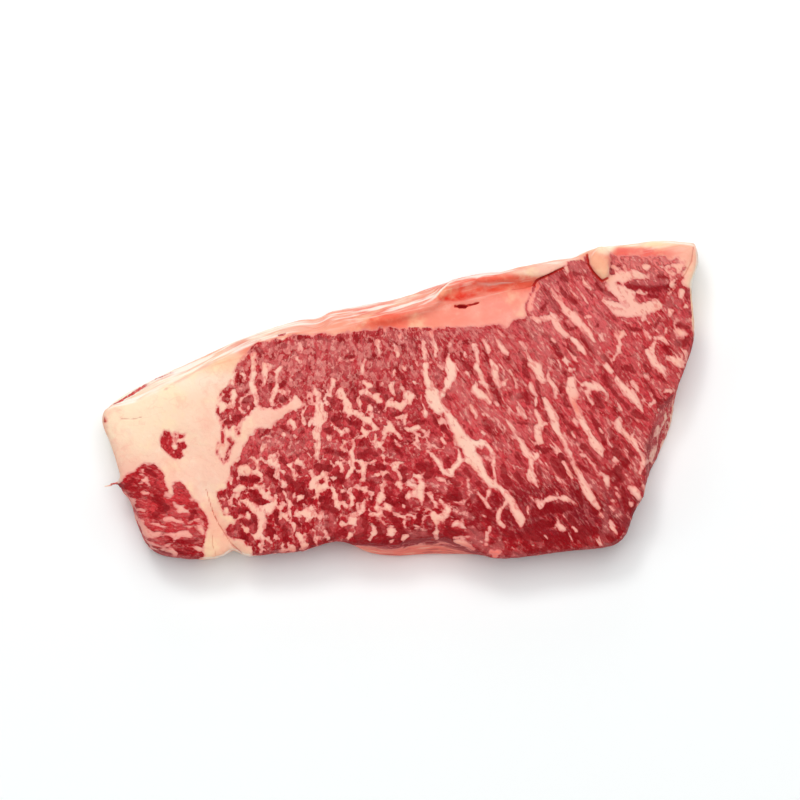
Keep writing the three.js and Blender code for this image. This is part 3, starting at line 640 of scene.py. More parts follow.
VEIL_STROKES = (
    Strokes("head", (
        ((262, 350, 5), (272, 346, 8), (278, 350, 7)), ((286, 348, 6), (300, 344, 6), (310, 344, 6)),
        ((272, 365, 7), (292, 366, 9), (300, 356, 12), (308, 362, 8)), ((305, 375, 7), (296, 378, 4)),
        ((244, 362, 6), (240, 370, 5)), ((250, 383, 3), (242, 390, 4)),
        ((262, 443, 8), (272, 440, 6), (284, 440, 5)), ((300, 444, 8), (290, 452, 6)),
    )),
    Strokes("behind the head", (
        ((325, 342, 8), (335, 350, 10), (350, 348, 10), (352, 340, 5)),
        ((333, 362, 8), (336, 372, 8), (334, 382, 5)), ((348, 366, 12), (350, 376, 7)),
        ((378, 365, 9), (386, 366, 6)), ((390, 336, 10), (404, 335, 8), (412, 350, 8)),
        ((364, 358, 5), (365, 350, 4)), ((320, 365, 8), (323, 378, 6)), ((325, 443, 6), (345, 447, 4)),
        ((336, 455, 4), (343, 460, 4)), ((390, 452, 6), (396, 456, 4)), ((402, 425, 8),),
        ((374, 410, 7), (380, 416, 6)),
        ((322, 515, 6), (333, 516, 6), (336, 525, 5), (320, 524, 6), (325, 534, 6)),
        ((372, 477, 6), (380, 480, 4)),
    )),
    Strokes("middle", (
        ((425, 338, 10), (438, 335, 8), (424, 347, 6)), ((490, 338, 9), (495, 346, 5)),
        ((452, 388, 7), (462, 388, 8), (465, 398, 9), (472, 404, 6)), ((440, 366, 8), (436, 380, 5)),
        ((504, 376, 8), (506, 386, 6)), ((464, 412, 8), (470, 420, 7)),
        ((480, 410, 6), (492, 412, 7), (500, 425, 9)), ((436, 445, 9), (425, 446, 7), (418, 450, 6)),
        ((446, 450, 6), (452, 452, 5)), ((496, 446, 7), (506, 446, 6)),
        ((463, 508, 7), (456, 512, 6), (470, 516, 6)), ((478, 538, 14), (470, 530, 8), (484, 545, 10)),
        ((500, 545, 8), (490, 550, 10)), ((445, 485, 6), (436, 486, 6), (443, 492, 5)),
        ((468, 485, 6), (474, 499, 5)), ((424, 532, 7), (414, 536, 7)),
    )),
    Strokes("right", (
        ((534, 338, 9), (539, 345, 7), (545, 352, 8)),
        ((586, 335, 9), (592, 343, 8), (598, 353, 7), (603, 361, 6)), ((602, 335, 8), (606, 345, 6)),
        ((550, 362, 8), (546, 372, 5)), ((556, 376, 9), (560, 368, 6)), ((582, 368, 7), (592, 372, 7)),
        ((597, 362, 8),), ((576, 376, 5), (585, 376, 5)), ((582, 386, 5), (581, 396, 5)),
        ((516, 382, 5), (522, 384, 5)), ((518, 395, 4), (511, 404, 5)), ((533, 412, 7), (531, 432, 7)),
        ((567, 440, 7), (575, 444, 6)), ((606, 424, 6), (608, 436, 5)), ((635, 345, 6), (640, 350, 5)),
        ((634, 356, 5), (640, 362, 5)), ((655, 385, 7), (662, 388, 6)),
        ((672, 344, 5), (675, 335, 8), (678, 355, 5)), ((634, 432, 7), (644, 444, 7)),
        ((636, 462, 6), (634, 470, 5)), ((656, 448, 6), (655, 456, 7)), ((612, 508, 6), (618, 514, 6)),
        ((548, 482, 7), (545, 474, 5)), ((592, 485, 6), (598, 490, 5)), ((605, 510, 5), (606, 530, 6)),
    )),
    Strokes("shoulder and corner", (
        ((530, 325, 9), (540, 328, 6)), ((552, 285, 6), (556, 292, 5), (545, 282, 5)),
        ((532, 304, 14), (536, 292, 8)), ((575, 266, 10), (583, 272, 6)), ((548, 299, 4), (556, 308, 4)),
        ((650, 275, 5), (655, 283, 4)), ((672, 300, 7), (666, 308, 6)), ((676, 318, 6), (684, 322, 6)),
        ((605, 295, 5), (612, 302, 4)), ((608, 325, 5), (615, 330, 6)), ((636, 262, 9), (630, 266, 5)),
        ((632, 282, 5), (650, 284, 6), (664, 283, 5)), ((668, 305, 6), (680, 302, 6)),
    )),
)

CLEAR_STROKES = (
    Strokes("head", (
        ((250, 352, 4), (257, 349, 6), (263, 354, 6), (262, 359, 5)), ((281, 343, 3), (287, 347, 6)),
        ((276, 356, 6), (272, 360, 4)), ((282, 364, 3), (286, 368, 3)),
        ((298, 338, 8), (306, 338, 5), (306, 347, 3)), ((294, 351, 4), (298, 356, 4)),
        ((241, 382, 6), (240, 376, 4)), ((261, 385, 4), (263, 376, 2), (260, 366, 2)),
        ((273, 381, 4), (271, 387, 4)), ((284, 384, 7), (281, 388, 3)), ((249, 388, 2), (253, 388, 2)),
        ((247, 401, 7), (251, 398, 4)), ((285, 399, 8),), ((310, 363, 3), (312, 370, 3)),
        ((240, 418, 8), (228, 423, 4)), ((262, 432, 5), (268, 430, 4), (262, 438, 3)),
        ((285, 428, 7), (292, 433, 4)), ((303, 431, 7),), ((272, 445, 3), (276, 444, 2)),
        ((290, 458, 2), (300, 455, 2)), ((283, 459, 6), (287, 464, 5)), ((272, 472, 10), (278, 480, 5)),
        ((299, 467, 5), (302, 473, 4)), ((288, 477, 5), (293, 483, 6), (302, 486, 8)),
        ((244, 478, 6), (252, 481, 5), (260, 479, 5)), ((254, 492, 7), (257, 498, 7), (261, 502, 5)),
        ((265, 500, 6), (265, 505, 4)),
        ((241, 511, 6), (250, 511, 3), (255, 516, 4), (258, 523, 5), (257, 530, 3)),
        ((243, 521, 5), (253, 524, 4)), ((243, 532, 5), (246, 537, 7), (251, 541, 3)),
        ((277, 513, 5), (278, 521, 3), (281, 526, 3)), ((269, 527, 7), (273, 533, 9), (272, 539, 3)),
        ((286, 527, 5), (286, 534, 8), (287, 540, 5)), ((302, 545, 5), (301, 551, 3)),
        ((297, 521, 3), (300, 525, 4)), ((310, 535, 4), (313, 545, 7)), ((280, 489, 6), (286, 490, 4)),
        ((287, 501, 5), (289, 508, 4)), ((300, 490, 8), (307, 495, 7), (297, 502, 6), (305, 504, 6)),
        ((313, 501, 5),), ((260, 542, 3), (266, 543, 3)),
    )),
    Strokes("behind the head", (
        ((320, 338, 3), (332, 342, 3)), ((341, 338, 3), (344, 342, 7), (343, 348, 3)),
        ((358, 337, 6), (359, 342, 5)), ((368, 341, 6), (373, 341, 6)), ((370, 358, 6), (376, 357, 5)),
        ((346, 358, 4), (355, 357, 3)), ((355, 377, 5), (360, 378, 3)), ((338, 385, 3), (344, 383, 3)),
        ((352, 386, 3), (356, 397, 4), (357, 403, 3)),
        ((362, 397, 3), (370, 401, 4), (376, 403, 3), (382, 408, 4)), ((387, 396, 3), (388, 403, 2)),
        ((378, 391, 5), (372, 389, 3)), ((402, 378, 6), (396, 370, 5)), ((395, 343, 4), (404, 347, 5)),
        ((334, 402, 6), (330, 410, 4)), ((336, 419, 8), (340, 426, 5)), ((331, 431, 7), (325, 430, 4)),
        ((347, 420, 4), (352, 423, 4), (358, 424, 5)), ((352, 434, 3), (355, 440, 3)), ((362, 443, 7),),
        ((328, 450, 4), (335, 453, 6), (345, 455, 7)), ((360, 456, 6), (370, 451, 6), (377, 455, 4)),
        ((343, 466, 2.5),), ((330, 468, 7), (318, 467, 7), (322, 471, 5)),
        ((334, 479, 6), (343, 480, 8), (340, 473, 5)), ((356, 472, 6), (358, 477, 5)),
        ((372, 468, 8), (380, 466, 6), (386, 468, 4)), ((368, 478, 4), (375, 484, 6)),
        ((388, 477, 5), (393, 480, 4)), ((380, 426, 3), (376, 424, 2)), ((393, 437, 4), (398, 440, 3)),
        ((405, 470, 7), (405, 480, 6), (401, 472, 4)), ((393, 415, 4), (402, 414, 5)),
        ((392, 442, 4), (403, 457, 5)), ((323, 499, 6), (331, 499, 6), (325, 506, 7), (337, 511, 7)),
        ((328, 521, 5), (330, 531, 5)), ((336, 535, 7), (345, 531, 7), (326, 541, 4)),
        ((345, 495, 6), (345, 507, 3)), ((361, 494, 6), (356, 508, 4), (366, 517, 4), (365, 524, 6)),
        ((357, 537, 5), (365, 534, 5), (369, 525, 3)),
        ((378, 524, 5), (381, 534, 6), (389, 539, 5), (396, 541, 4)), ((373, 487, 5), (373, 503, 5)),
        ((389, 499, 7), (397, 505, 5), (402, 497, 9), (407, 508, 7)),
        ((391, 515, 5), (404, 533, 7), (400, 529, 4)),
    )),
    Strokes("middle", (
        ((447, 350, 5), (445, 357, 3)), ((440, 375, 4), (436, 378, 3)),
        ((462, 352, 4), (461, 358, 4), (464, 364, 4), (469, 369, 6), (473, 375, 4)),
        ((470, 342, 5), (464, 343, 4), (475, 341, 3)), ((483, 348, 2.5), (486, 355, 3), (487, 364, 4)),
        ((489, 375, 4), (491, 383, 5), (494, 390, 7), (497, 397, 7), (499, 403, 5)),
        ((472, 351, 3), (475, 358, 2)), ((506, 358, 6), (509, 363, 5)), ((497, 352, 2), (494, 346, 2)),
        ((430, 353, 3), (433, 358, 3)), ((415, 391, 5), (418, 397, 3)), ((446, 395, 5), (452, 400, 3)),
        ((505, 396, 4),), ((413, 341, 4), (417, 351, 4)), ((438, 386, 4),),
        ((434, 416, 3), (435, 422, 4), (438, 427, 3)),
        ((443, 428, 6), (448, 433, 4), (452, 440, 2.5), (448, 440, 3)), ((418, 423, 5), (424, 422, 4)),
        ((432, 433, 4),), ((420, 466, 8), (430, 466, 8), (428, 476, 7), (434, 471, 5)),
        ((447, 460, 6), (450, 467, 5)), ((466, 470, 7), (470, 475, 4)), ((488, 465, 4), (491, 473, 2.5)),
        ((470, 430, 3), (472, 436, 2)), ((484, 422, 6), (489, 431, 3), (495, 435, 3)),
        ((503, 467, 7), (503, 476, 7), (508, 482, 8)), ((450, 480, 6), (458, 483, 5)), ((478, 483, 6),),
        ((450, 495, 9), (458, 496, 9), (455, 489, 6)), ((427, 499, 5), (427, 489, 3)),
        ((474, 495, 4), (467, 505, 5)), ((479, 503, 7), (486, 511, 8), (490, 519, 6)),
        ((495, 494, 4), (497, 502, 5)), ((507, 512, 6),),
        ((448, 519, 4), (447, 528, 5), (454, 533, 8), (460, 532, 5)),
        ((420, 516, 6), (415, 530, 6), (424, 537, 6), (433, 531, 6)), ((414, 543, 5), (427, 541, 3)),
        ((479, 548, 4),), ((503, 531, 5), (509, 535, 6)), ((497, 542, 4), (503, 547, 3)),
        ((476, 531, 2), (483, 529, 3)),
    )),
    Strokes("right", (
        ((549, 337, 4), (553, 344, 7), (557, 351, 8), (561, 357, 4)),
        ((580, 335, 3), (584, 341, 5), (589, 347, 5), (594, 354, 4)),
        ((568, 347, 4), (573, 353, 3), (577, 356, 2)), ((564, 373, 5), (566, 378, 3)),
        ((590, 379, 3), (583, 376, 3)), ((520, 354, 5), (524, 362, 5), (525, 372, 6), (528, 377, 4)),
        ((537, 382, 4), (538, 390, 4), (540, 397, 3), (542, 405, 3)),
        ((518, 397, 6), (525, 395, 6), (527, 403, 6)), ((561, 385, 2), (560, 392, 2.5), (563, 389, 2)),
        ((565, 397, 5), (565, 404, 5), (570, 408, 3)), ((594, 395, 3), (597, 402, 7), (601, 406, 6)),
        ((583, 402, 1.5), (590, 409, 1.5)), ((603, 357, 5), (609, 364, 4)),
        ((603, 378, 5), (607, 384, 5), (612, 391, 4), (618, 398, 4), (624, 404, 4), (628, 409, 4)),
        ((538, 359, 2), (533, 350, 2)), ((510, 393, 4), (513, 400, 3)), ((545, 415, 4), (547, 421, 3)),
        ((514, 423, 3), (525, 423, 3), (534, 425, 3)), ((545, 430, 3), (550, 435, 3), (555, 440, 3)),
        ((537, 447, 4), (545, 452, 5), (552, 447, 3)),
        ((553, 460, 8), (558, 468, 8), (563, 475, 8), (560, 456, 6), (567, 462, 3), (573, 475, 3)),
        ((560, 415, 2.5), (565, 421, 4), (571, 427, 4), (577, 431, 5), (580, 437, 3)),
        ((568, 431, 4), (571, 438, 2.5)), ((583, 446, 7), (588, 451, 4), (593, 458, 4), (598, 465, 4)),
        ((576, 462, 3), (582, 468, 4), (588, 472, 3), (595, 477, 1.5)),
        ((588, 411, 2), (593, 419, 4), (597, 426, 6), (601, 434, 5), (604, 443, 5)),
        ((538, 466, 4), (541, 475, 4)), ((516, 453, 4), (520, 462, 4), (526, 468, 3)),
        ((516, 474, 6), (521, 482, 5)), ((629, 368, 7), (622, 368, 4), (634, 372, 4)),
        ((643, 347, 3), (647, 349, 2)), ((627, 356, 2), (633, 356, 2)),
        ((643, 366, 2.5), (647, 371, 3), (652, 377, 2.5)),
        ((645, 382, 4), (648, 387, 4), (653, 393, 3), (656, 400, 4), (660, 408, 3)),
        ((664, 348, 5), (668, 354, 5)), ((677, 343, 7), (684, 344, 8), (688, 339, 5)),
        ((659, 377, 5), (664, 382, 3), (669, 385, 2)), ((661, 401, 5), (668, 402, 5), (672, 397, 4)),
        ((606, 380, 5), (610, 386, 4)), ((614, 408, 4), (618, 415, 3)),
        ((634, 413, 7), (641, 416, 6), (646, 420, 5)), ((608, 430, 4), (612, 438, 4)),
        ((621, 440, 4), (627, 448, 5), (632, 455, 4)),
        ((614, 451, 6), (620, 457, 7), (626, 463, 6), (616, 471, 8), (621, 479, 8)),
        ((645, 444, 5), (651, 448, 6)), ((653, 427, 3), (652, 437, 3)),
        ((644, 466, 2), (648, 464, 2), (641, 473, 2), (649, 475, 2)), ((615, 363, 3), (612, 368, 2)),
    )),
    Strokes("above the silverskin", (
        ((352, 542, 5), (375, 543, 7), (400, 541, 8), (422, 537, 10), (442, 537, 9), (460, 543, 6),
         (474, 549, 4)),
    )),
    Strokes("foot", (
        ((535, 512, 10), (548, 508, 10), (560, 508, 10), (570, 507, 6)),
        ((530, 530, 9), (542, 524, 10), (552, 524, 6)),
        ((520, 535, 8), (560, 540, 9), (583, 530, 12), (595, 531, 8)), ((577, 492, 6), (582, 503, 4)),
        ((562, 535, 6), (545, 549, 6), (530, 552, 5)), ((592, 507, 5), (596, 513, 5)),
        ((622, 489, 5), (627, 509, 6), (633, 507, 6), (632, 514, 5)), ((609, 536, 6), (614, 540, 5)),
        ((570, 516, 6), (586, 543, 6)),
    )),
    Strokes("shoulder and corner", (
        ((536, 281, 2.5), (543, 278, 2.5), (551, 275, 2), (560, 271, 2)),
        ((543, 287, 3), (546, 293, 4), (551, 300, 5), (557, 308, 5), (559, 314, 2)),
        ((547, 302, 4), (541, 313, 4)), ((558, 284, 3), (563, 291, 5), (568, 298, 5), (575, 303, 5)),
        ((566, 281, 7), (562, 278, 4)), ((575, 275, 5), (581, 275, 3)),
        ((583, 284, 2), (587, 290, 2.5), (593, 297, 3)),
        ((596, 285, 5), (600, 290, 4), (608, 294, 4), (615, 298, 3), (623, 302, 2)),
        ((583, 315, 2), (580, 313, 3)), ((564, 325, 4), (569, 330, 4), (576, 328, 3)),
        ((512, 331, 2), (516, 338, 2)), ((615, 269, 4), (619, 267, 3)),
        ((624, 288, 4), (632, 287, 7), (642, 289, 6), (655, 289, 6), (667, 288, 5), (673, 283, 3)),
        ((652, 292, 2), (660, 292, 2)), ((648, 297, 4), (657, 298, 3)), ((635, 268, 1.5), (642, 268, 1.5)),
        ((636, 272, 1.5), (642, 272, 1.5)), ((658, 277, 4), (666, 279, 3)),
        ((607, 311, 3), (612, 317, 3), (617, 324, 3)), ((623, 325, 3), (630, 330, 4), (640, 330, 4)),
        ((658, 320, 3), (655, 328, 2), (650, 325, 1.5)), ((679, 325, 6), (688, 329, 3)), ((597, 326, 4),),
    )),
    Strokes("side muscle", (
        ((121, 486, 5), (128, 487, 6), (135, 480, 4)), ((158, 498, 8), (168, 508, 8), (158, 514, 7)),
        ((196, 512, 6), (192, 520, 4)), ((168, 541, 4), (188, 542, 5), (199, 541, 4)),
        ((145, 548, 5), (188, 554, 5)), ((150, 471, 5), (158, 476, 4)),
    )),
)


class Cut(Enum):
    """A kind of marbling: how far a bundle of lean reaches in mm, streakiness and fineness."""

    FINE = (2.25, 0.2, 1.0)
    LOBED = (1.95, 0.0, 0.45)
    STREAKED = (1.8, 1.0, 0.5)
    FINE_STREAKED = (1.85, 0.9, 0.78)
    CLOSE = (2.1, 0.8, 0.15)
    SIDE = (2.1, 1.0, 0.35)


@dataclass(frozen=True)
class Region:
    """A part of the steak with one kind of marbling: its middle and reach in pixels."""

    name: str
    cut: Cut
    at: tuple[float, float]
    reach: tuple[float, float]


REGIONS = (
    Region("fine head", Cut.FINE, (290, 356), (80, 34)),
    Region("fine middle", Cut.FINE, (400, 352), (90, 30)),
    Region("lobed left", Cut.LOBED, (300, 485), (110, 85)),
    Region("lobed middle", Cut.LOBED, (400, 460), (70, 75)),
    Region("streaked middle", Cut.STREAKED, (520, 410), (80, 80)),
    Region("streaked right", Cut.STREAKED, (610, 380), (95, 100)),
    Region("streaked shoulder", Cut.STREAKED, (575, 295), (40, 26)),
    Region("close foot", Cut.CLOSE, (560, 520), (75, 30)),
    Region("close band", Cut.CLOSE, (650, 287), (36, 12)),
    Region("fine lobes below the head", Cut.FINE, (283, 441), (30, 17)),
    Region("fine streaks, middle", Cut.FINE_STREAKED, (486, 402), (34, 34)),
    Region("fine streaks, upper", Cut.FINE_STREAKED, (545, 345), (50, 22)),
    Region("side muscle", Cut.SIDE, (165, 515), (50, 55)),
)

FAT_TINTS = (
    Tint("tail, cream", (150, 405), (60, 40), "#ffe3c2"),
    Tint("tail, inner", (200, 440), (40, 60), "#fed2b8", 1.5),
    Tint("tail, by the eye", (225, 470), (30, 60), "#fabda6"),
    Tint("between the muscles", (210, 470), (30, 40), "#fcc8b0"),
    Tint("foot of the valley", (222, 535), (22, 30), "#f7b89a"),
    Tint("cap, left", (170, 380), (60, 14), "#fff0da"),
    Tint("cap, middle", (270, 333), (60, 12), "#fddcc6"),
    # The lens on the cap's slope: partly warmer fat, partly painted shade on the slope.
    Tint("cap, lens", (205, 364), (34, 10), "#fcc297", 1.5),
    Tint("cap, right", (350, 304), (60, 10), "#fde0cc"),
    Tint("cap, by the head", (249, 348), (8, 6), "#f08468", 3.0),
    Tint("cap, above the head", (300, 334), (34, 4), "#f7a084", 3.0),
    Tint("soft fat, left", (330, 325), (36, 10), "#fa9679", 3.0),
    Tint("soft fat, red", (385, 317), (30, 10), "#f2583e", 6.0),
    Tint("soft fat, middle", (430, 314), (40, 14), "#f68c76", 4.0),
    Tint("soft fat, right", (490, 308), (40, 18), "#f79483", 4.0),
    Tint("torn skin", (440, 294), (60, 5), "#f06a4c", 4.0),
    Tint("torn flake, long", (453, 298.5), (11, 2.4), "#e8210f", 40.0),
    Tint("torn flake, middle", (468, 295.5), (7, 2.2), "#ea2c18", 40.0),
    Tint("torn flake, upright", (463, 291), (2.2, 4), "#ee3a24", 30.0),
    Tint("torn flake, right", (488, 290.5), (12, 1.8), "#f04c34", 30.0),
    # Painted shade: the red-orange under the flap stands for the shadow beneath its overhanging lip.
    Tint("under the flap", (508, 284), (34, 6), "#f0563c", 5.0),
    Tint("flap", (530, 266), (40, 7), "#fcc0ab", 3.0),
    Tint("knob", (597, 263), (10, 13), "#fab08e", 8.0),
    Tint("knob's tab", (604, 250), (7, 5), "#ffe8c8", 20.0),
    Tint("corner", (682, 256), (22, 18), "#fcb8a2", 2.0),
    Tint("top of the corner", (636, 256), (32, 5), "#ee665c", 9.0),
    Tint("rim of the corner", (650, 244), (44, 4), "#ffdcb0", 3.0),
    Tint("blunt rim", (697, 290), (7, 30), "#fcd5b2", 2.0),
    Tint("eye seams, left", (320, 440), (90, 80), "#fdc3ae"),
    Tint("eye seams, middle", (455, 430), (36, 70), "#ffcdb8"),
    Tint("eye seams, right", (590, 420), (90, 90), "#fcc0ae"),
    Tint("orange seam", (577, 406), (8, 9), "#f0604c", 2.0),
    Tint("eye seams, high", (560, 320), (60, 24), "#f9b3a3"),
    Tint("wall, lower right", (679, 425), (8, 36), "#ffd0b4", 3.0),
    Tint("wall, foot", (404, 558), (64, 8.5), "#fb7464", 40.0),
    Tint("wall, right of the foot", (458, 560), (20, 5.5), "#e8806a", 20.0),
    Tint("side muscle", (165, 520), (40, 40), "#f4a394"),
)

LEAN_TINTS = (
    Tint("fine head", (290, 355), (70, 28), "#d84348"),
    Tint("fine middle", (410, 355), (90, 26), "#d23c42"),
    Tint("top edge", (340, 337), (70, 5), "#b3141e"),
    Tint("lobed left", (290, 440), (60, 30), "#ea5256"),
    Tint("lobed low", (300, 510), (80, 40), "#c02029"),
    Tint("lobed middle", (390, 450), (60, 50), "#d0383f"),
    Tint("low middle", (440, 520), (70, 25), "#a21922"),
    Tint("streaked middle", (500, 400), (60, 60), "#e64f54"),
    Tint("streaked right", (600, 380), (70, 70), "#e44b51"),
    Tint("shoulder", (570, 310), (50, 30), "#ee6c6e", 1.4),
    Tint("dark band", (645, 287), (30, 9), "#c8464d"),
    Tint("corner", (655, 265), (40, 10), "#ff8a84", 3.0),
    Tint("below the corner", (660, 315), (40, 20), "#e8545a", 1.5),
    Tint("blunt end", (670, 340), (30, 50), "#c6242e"),
    Tint("wall, lower right", (680, 428), (9, 36), "#f23c42", 4.0),
    Tint("dark foot", (560, 515), (60, 22), "#921c26"),
    Tint("foot rim", (560, 545), (90, 8), "#aa0c16"),
    Tint("head rim", (225, 420), (8, 60), "#c8242c"),
    Tint("head's shoulder", (252, 352), (16, 14), "#cc1820", 2.0),
    Tint("islet", (172, 443), (20, 16), "#cb2a30"),
    Tint("traces on the cap", (136, 390), (44, 22), "#ee4a42", 3.0),
    Tint("spot at the tip", (105, 420), (7, 7), "#f58a6a", 20.0),
    Tint("side muscle, rim", (130, 490), (14, 40), "#c0141e"),
    Tint("side muscle", (170, 510), (36, 30), "#df3c40"),
    Tint("side muscle, foot", (180, 545), (30, 14), "#aa0e18"),
)


BAND = Strokes("band of the fat cap", (
    ((118, 396, 14), (200, 362, 20), (300, 326, 22), (400, 302, 28), (500, 281, 32), (560, 264, 20),
     (574, 258, 14)),
    ((620, 251, 14), (650, 249, 14), (680, 248, 12)),
))


@dataclass(frozen=True)
class Crease:
    """A crease in the surface: its path in pixels, its depth and width in millimetres."""

    name: str
    path: tuple[tuple[float, float], ...]
    depth: float
    width: float


CREASES = (
    Crease("valley of the side muscle", (
        (207, 489), (210, 500), (214, 513), (219, 523), (231, 542), (246, 556),
    ), 0.42, 0.5),
    Crease("short crease beside it", ((213, 535), (213.5, 545), (217, 556)), 0.36, 0.45),
    Crease("third crease", ((232, 545), (238, 551), (243, 556)), 0.3, 0.45),
    Crease("crease in the tail fat", ((122, 418.5), (132, 419.5), (143, 417)), 0.4, 0.42),
    Crease("crease over the chine", ((432, 540), (447, 543), (464, 549), (474, 553), (485, 557)), 0.8, 0.7),
    Crease("crease in the chine's wall", ((364, 549), (368, 551), (374, 551)), 0.8, 0.55),
    Crease("crease above the chine", ((384, 554), (389, 554), (395, 552)), 0.6, 0.45),
    Crease("edge of the flap", ((512, 290), (522, 289), (533, 286)), 0.35, 0.5),
    Crease("edge of the flap, open", ((533, 286), (536, 281), (543, 278), (562, 269)), 1.0, 0.6),
    Crease("slit in the soft fat", ((459, 306.8), (465, 307)), 2.0, 0.78),
    Crease("slit's left end", ((454.5, 306.3), (459, 306.8)), 1.5, 0.42),
    Crease("slit's right end", ((465, 306.6), (471, 305.2), (478, 303.3)), 1.4, 0.42),
    Crease("fold round the knob", ((586, 255), (587, 266), (592, 274), (601, 282), (606, 279)), 0.8, 0.6),
    Crease("membrane of the corner", ((692, 248), (690, 262), (684, 274), (674, 287), (663, 298)), 0.35, 0.6),
)


class Wall(Enum):
    """What a stretch of the steak's wall is made of."""

    CAP_FAT = "cap fat"
    SOFT_FAT = "soft fat"
    MEMBRANE = "membrane"


@dataclass(frozen=True)
class WallStretch:
    """A stretch of the wall: its ends in pixels, what it is and how far its hold reaches in pixels."""

    name: str
    ends: tuple[tuple[float, float], ...]
    kind: Wall
    reach: float = 22.0


WALL_STRETCHES = (
    WallStretch("fat cap", (
        (108, 410), (150, 380), (230, 345), (300, 322), (400, 295), (470, 278),
    ), Wall.CAP_FAT),
    WallStretch("flap", (
        (490, 274), (540, 264), (590, 254), (640, 243), (692, 242), (697, 270),
    ), Wall.SOFT_FAT),
    WallStretch("tail", ((104, 415), (110, 440), (114, 452)), Wall.CAP_FAT, 16.0),
    WallStretch("blunt end, high", ((697, 290), (694, 320)), Wall.SOFT_FAT, 16.0),
    WallStretch("chine, foot of the eye", (
        (352, 552), (400, 556), (440, 556), (470, 556), (490, 559),
    ), Wall.MEMBRANE),
    WallStretch("chine, valley", ((206, 560), (230, 556), (246, 558)), Wall.CAP_FAT, 10.0),
)


class MeatMap:
    """Where fat and lean lie, worked out at every point of the skin.

    Values that end in _px are in the photograph's pixels, and other lengths are in millimetres.
    """

    slant = 0.12
    slant_way = (0.8, -0.35)
    wall_start, wall_blend = 0.78, 0.35
    grain_steep, grain_slanted = 90.0, 56.0
    grain_turn_px = (330.0, 500.0)
    grain_row_px = 400.0
    grain_steps = 24
    side_margin_px = 7.0
    side_slope = 0.22
    region_falloff = 1.6
    least_weight = 1e-4
    wander_size = (4.0, 6.0, 8.0)
    wander_shift = 40.0
    wander_face_px, wander_deep_px = 1.4, 0.22
    calm_depth = 1.5
    seam_fillet_px = 1.6
    trace_height, trace_half_width = 8.0, 2.4
    trace_sway, trace_bend = 2.0, 4.6
    spot_floor, spot_blend, spot_margin = 17.0, 2.0, 6.0
    inside_start_px, inside_blend_px = -3.0, 4.0
    stretch_blend = 0.6
    wall_fat_depth = 6.0
    membrane_start, membrane_blend = 0.25, 0.3
    tint_falloff, tint_weight, ground_weight = 1.4, 3.0, 0.25
    crease_tilt, crease_blend = 0.1, 0.4
    crease_reach = 1.2

    def __init__(self, points: np.ndarray, normals: np.ndarray, thickness: float) -> None:
        """Measures the skin against the drawn muscles, seams and stretches.

        Args:
            points: The skin's points, as rows of x, y and z in millimetres.
            normals: The skin's normals at those points.
            thickness: The steak's thickness in millimetres.
        """
        self.points = points
        self.normals = normals
        self.thickness = thickness
        self.level = points[:, 2]
        self.seen = PHOTO.pixels(points[:, :2])
        # Muscles and seams run through the slice a little aslant, as they do in a real loin.
        lean_over = (thickness - self.level) * self.slant
        self.at = PHOTO.pixels(points[:, :2] + lean_over[:, None] * np.array(self.slant_way))
        self.across, self.along = self._grain()
        self.wall = smooth((self.wall_start - np.abs(normals[:, 2])) / self.wall_blend)

    def _grain(self) -> tuple[np.ndarray, np.ndarray]:
        """Follows the muscle fibres back to the picture's middle row.

        Returns:
            For each point, its place across and along the grain, in millimetres.
        """
        across, along = self.at[:, 0].copy(), self.at[:, 1].copy()
        drop = (self.grain_row_px - along) / self.grain_steps
        turn = math.radians(self.grain_steep - self.grain_slanted)
        start, end = self.grain_turn_px
        for _ in range(self.grain_steps):
            across += drop * np.tan(turn * smooth((across - start) / (end - start)))
        # The side muscle's fibres run nearly level, a little down to the right.
        side = SIDE_MUSCLE.depth(self.at) > -self.side_margin_px
        across[side] = self.at[side, 1] - self.side_slope * self.at[side, 0]
        along[side] = self.at[side, 0]
        return across * PHOTO.scale, along * PHOTO.scale

    def _weight(self, cut: Cut) -> np.ndarray:
        """The weight of one kind of marbling at each point, before all kinds are shared out."""
        total = np.full(len(self.at), self.least_weight)
        for region in REGIONS:
            if region.cut is cut:
                total += nearness(self.at, region.at, region.reach, self.region_falloff)
        return total

    def grain_points(self, size: Triple) -> np.ndarray:
        """The points in grain space, each direction divided by its own length in millimetres."""
        return np.column_stack([self.across, self.along, self.level]) / np.array(size)

    def fat_depth(self) -> np.ndarray:
        """Works out how deep each point lies inside fat.

        Returns:
            The depth in millimetres, negative inside lean.
        """
        place = self.grain_points(self.wander_size)
        wander = np.column_stack([fractal(place), fractal(place + self.wander_shift)])
        below = np.clip(self.thickness - self.level - self.calm_depth, 0.0, None)
        at = self.at + wander * (self.wander_face_px + self.wander_deep_px * below)[:, None]
        fat = np.maximum(-deepest(MUSCLES, at), deepest(FAT_STROKES, at, fillet=self.seam_fillet_px))
        fat = np.minimum(fat, -deepest(LEAN_STROKES, at))
        covered = np.maximum(fat * PHOTO.scale, self._wall_fat())
        # The traces waver along the wall of the cap, in a streak a few millimetres high.
        middle = self.trace_height + self.trace_sway * np.sin(self.points[:, 0] / self.trace_bend)
        streak = self.trace_half_width - np.abs(self.level - middle)
        covered = np.minimum(covered, -np.minimum(CAP_TRACES.depth(self.seen) * PHOTO.scale, streak))
        # The spots lie on the upper rim alone.
        high = smooth((self.level - self.spot_floor) / self.spot_blend)
        spots = CAP_SPOTS.depth(self.seen) * PHOTO.scale
        return np.minimum(covered, self.spot_margin - (self.spot_margin + spots) * high)

    def inside(self) -> np.ndarray:
        """How far each point is inside a muscle, from 0 in the outer fat to 1 in a muscle."""
        return smooth((deepest(MUSCLES, self.at) - self.inside_start_px) / self.inside_blend_px)

    def drawn_depth(self, groups: tuple[Strokes, ...]) -> np.ndarray:
        """The depth inside groups of drawn strokes at each point, in millimetres."""
        return deepest(groups, self.at) * PHOTO.scale

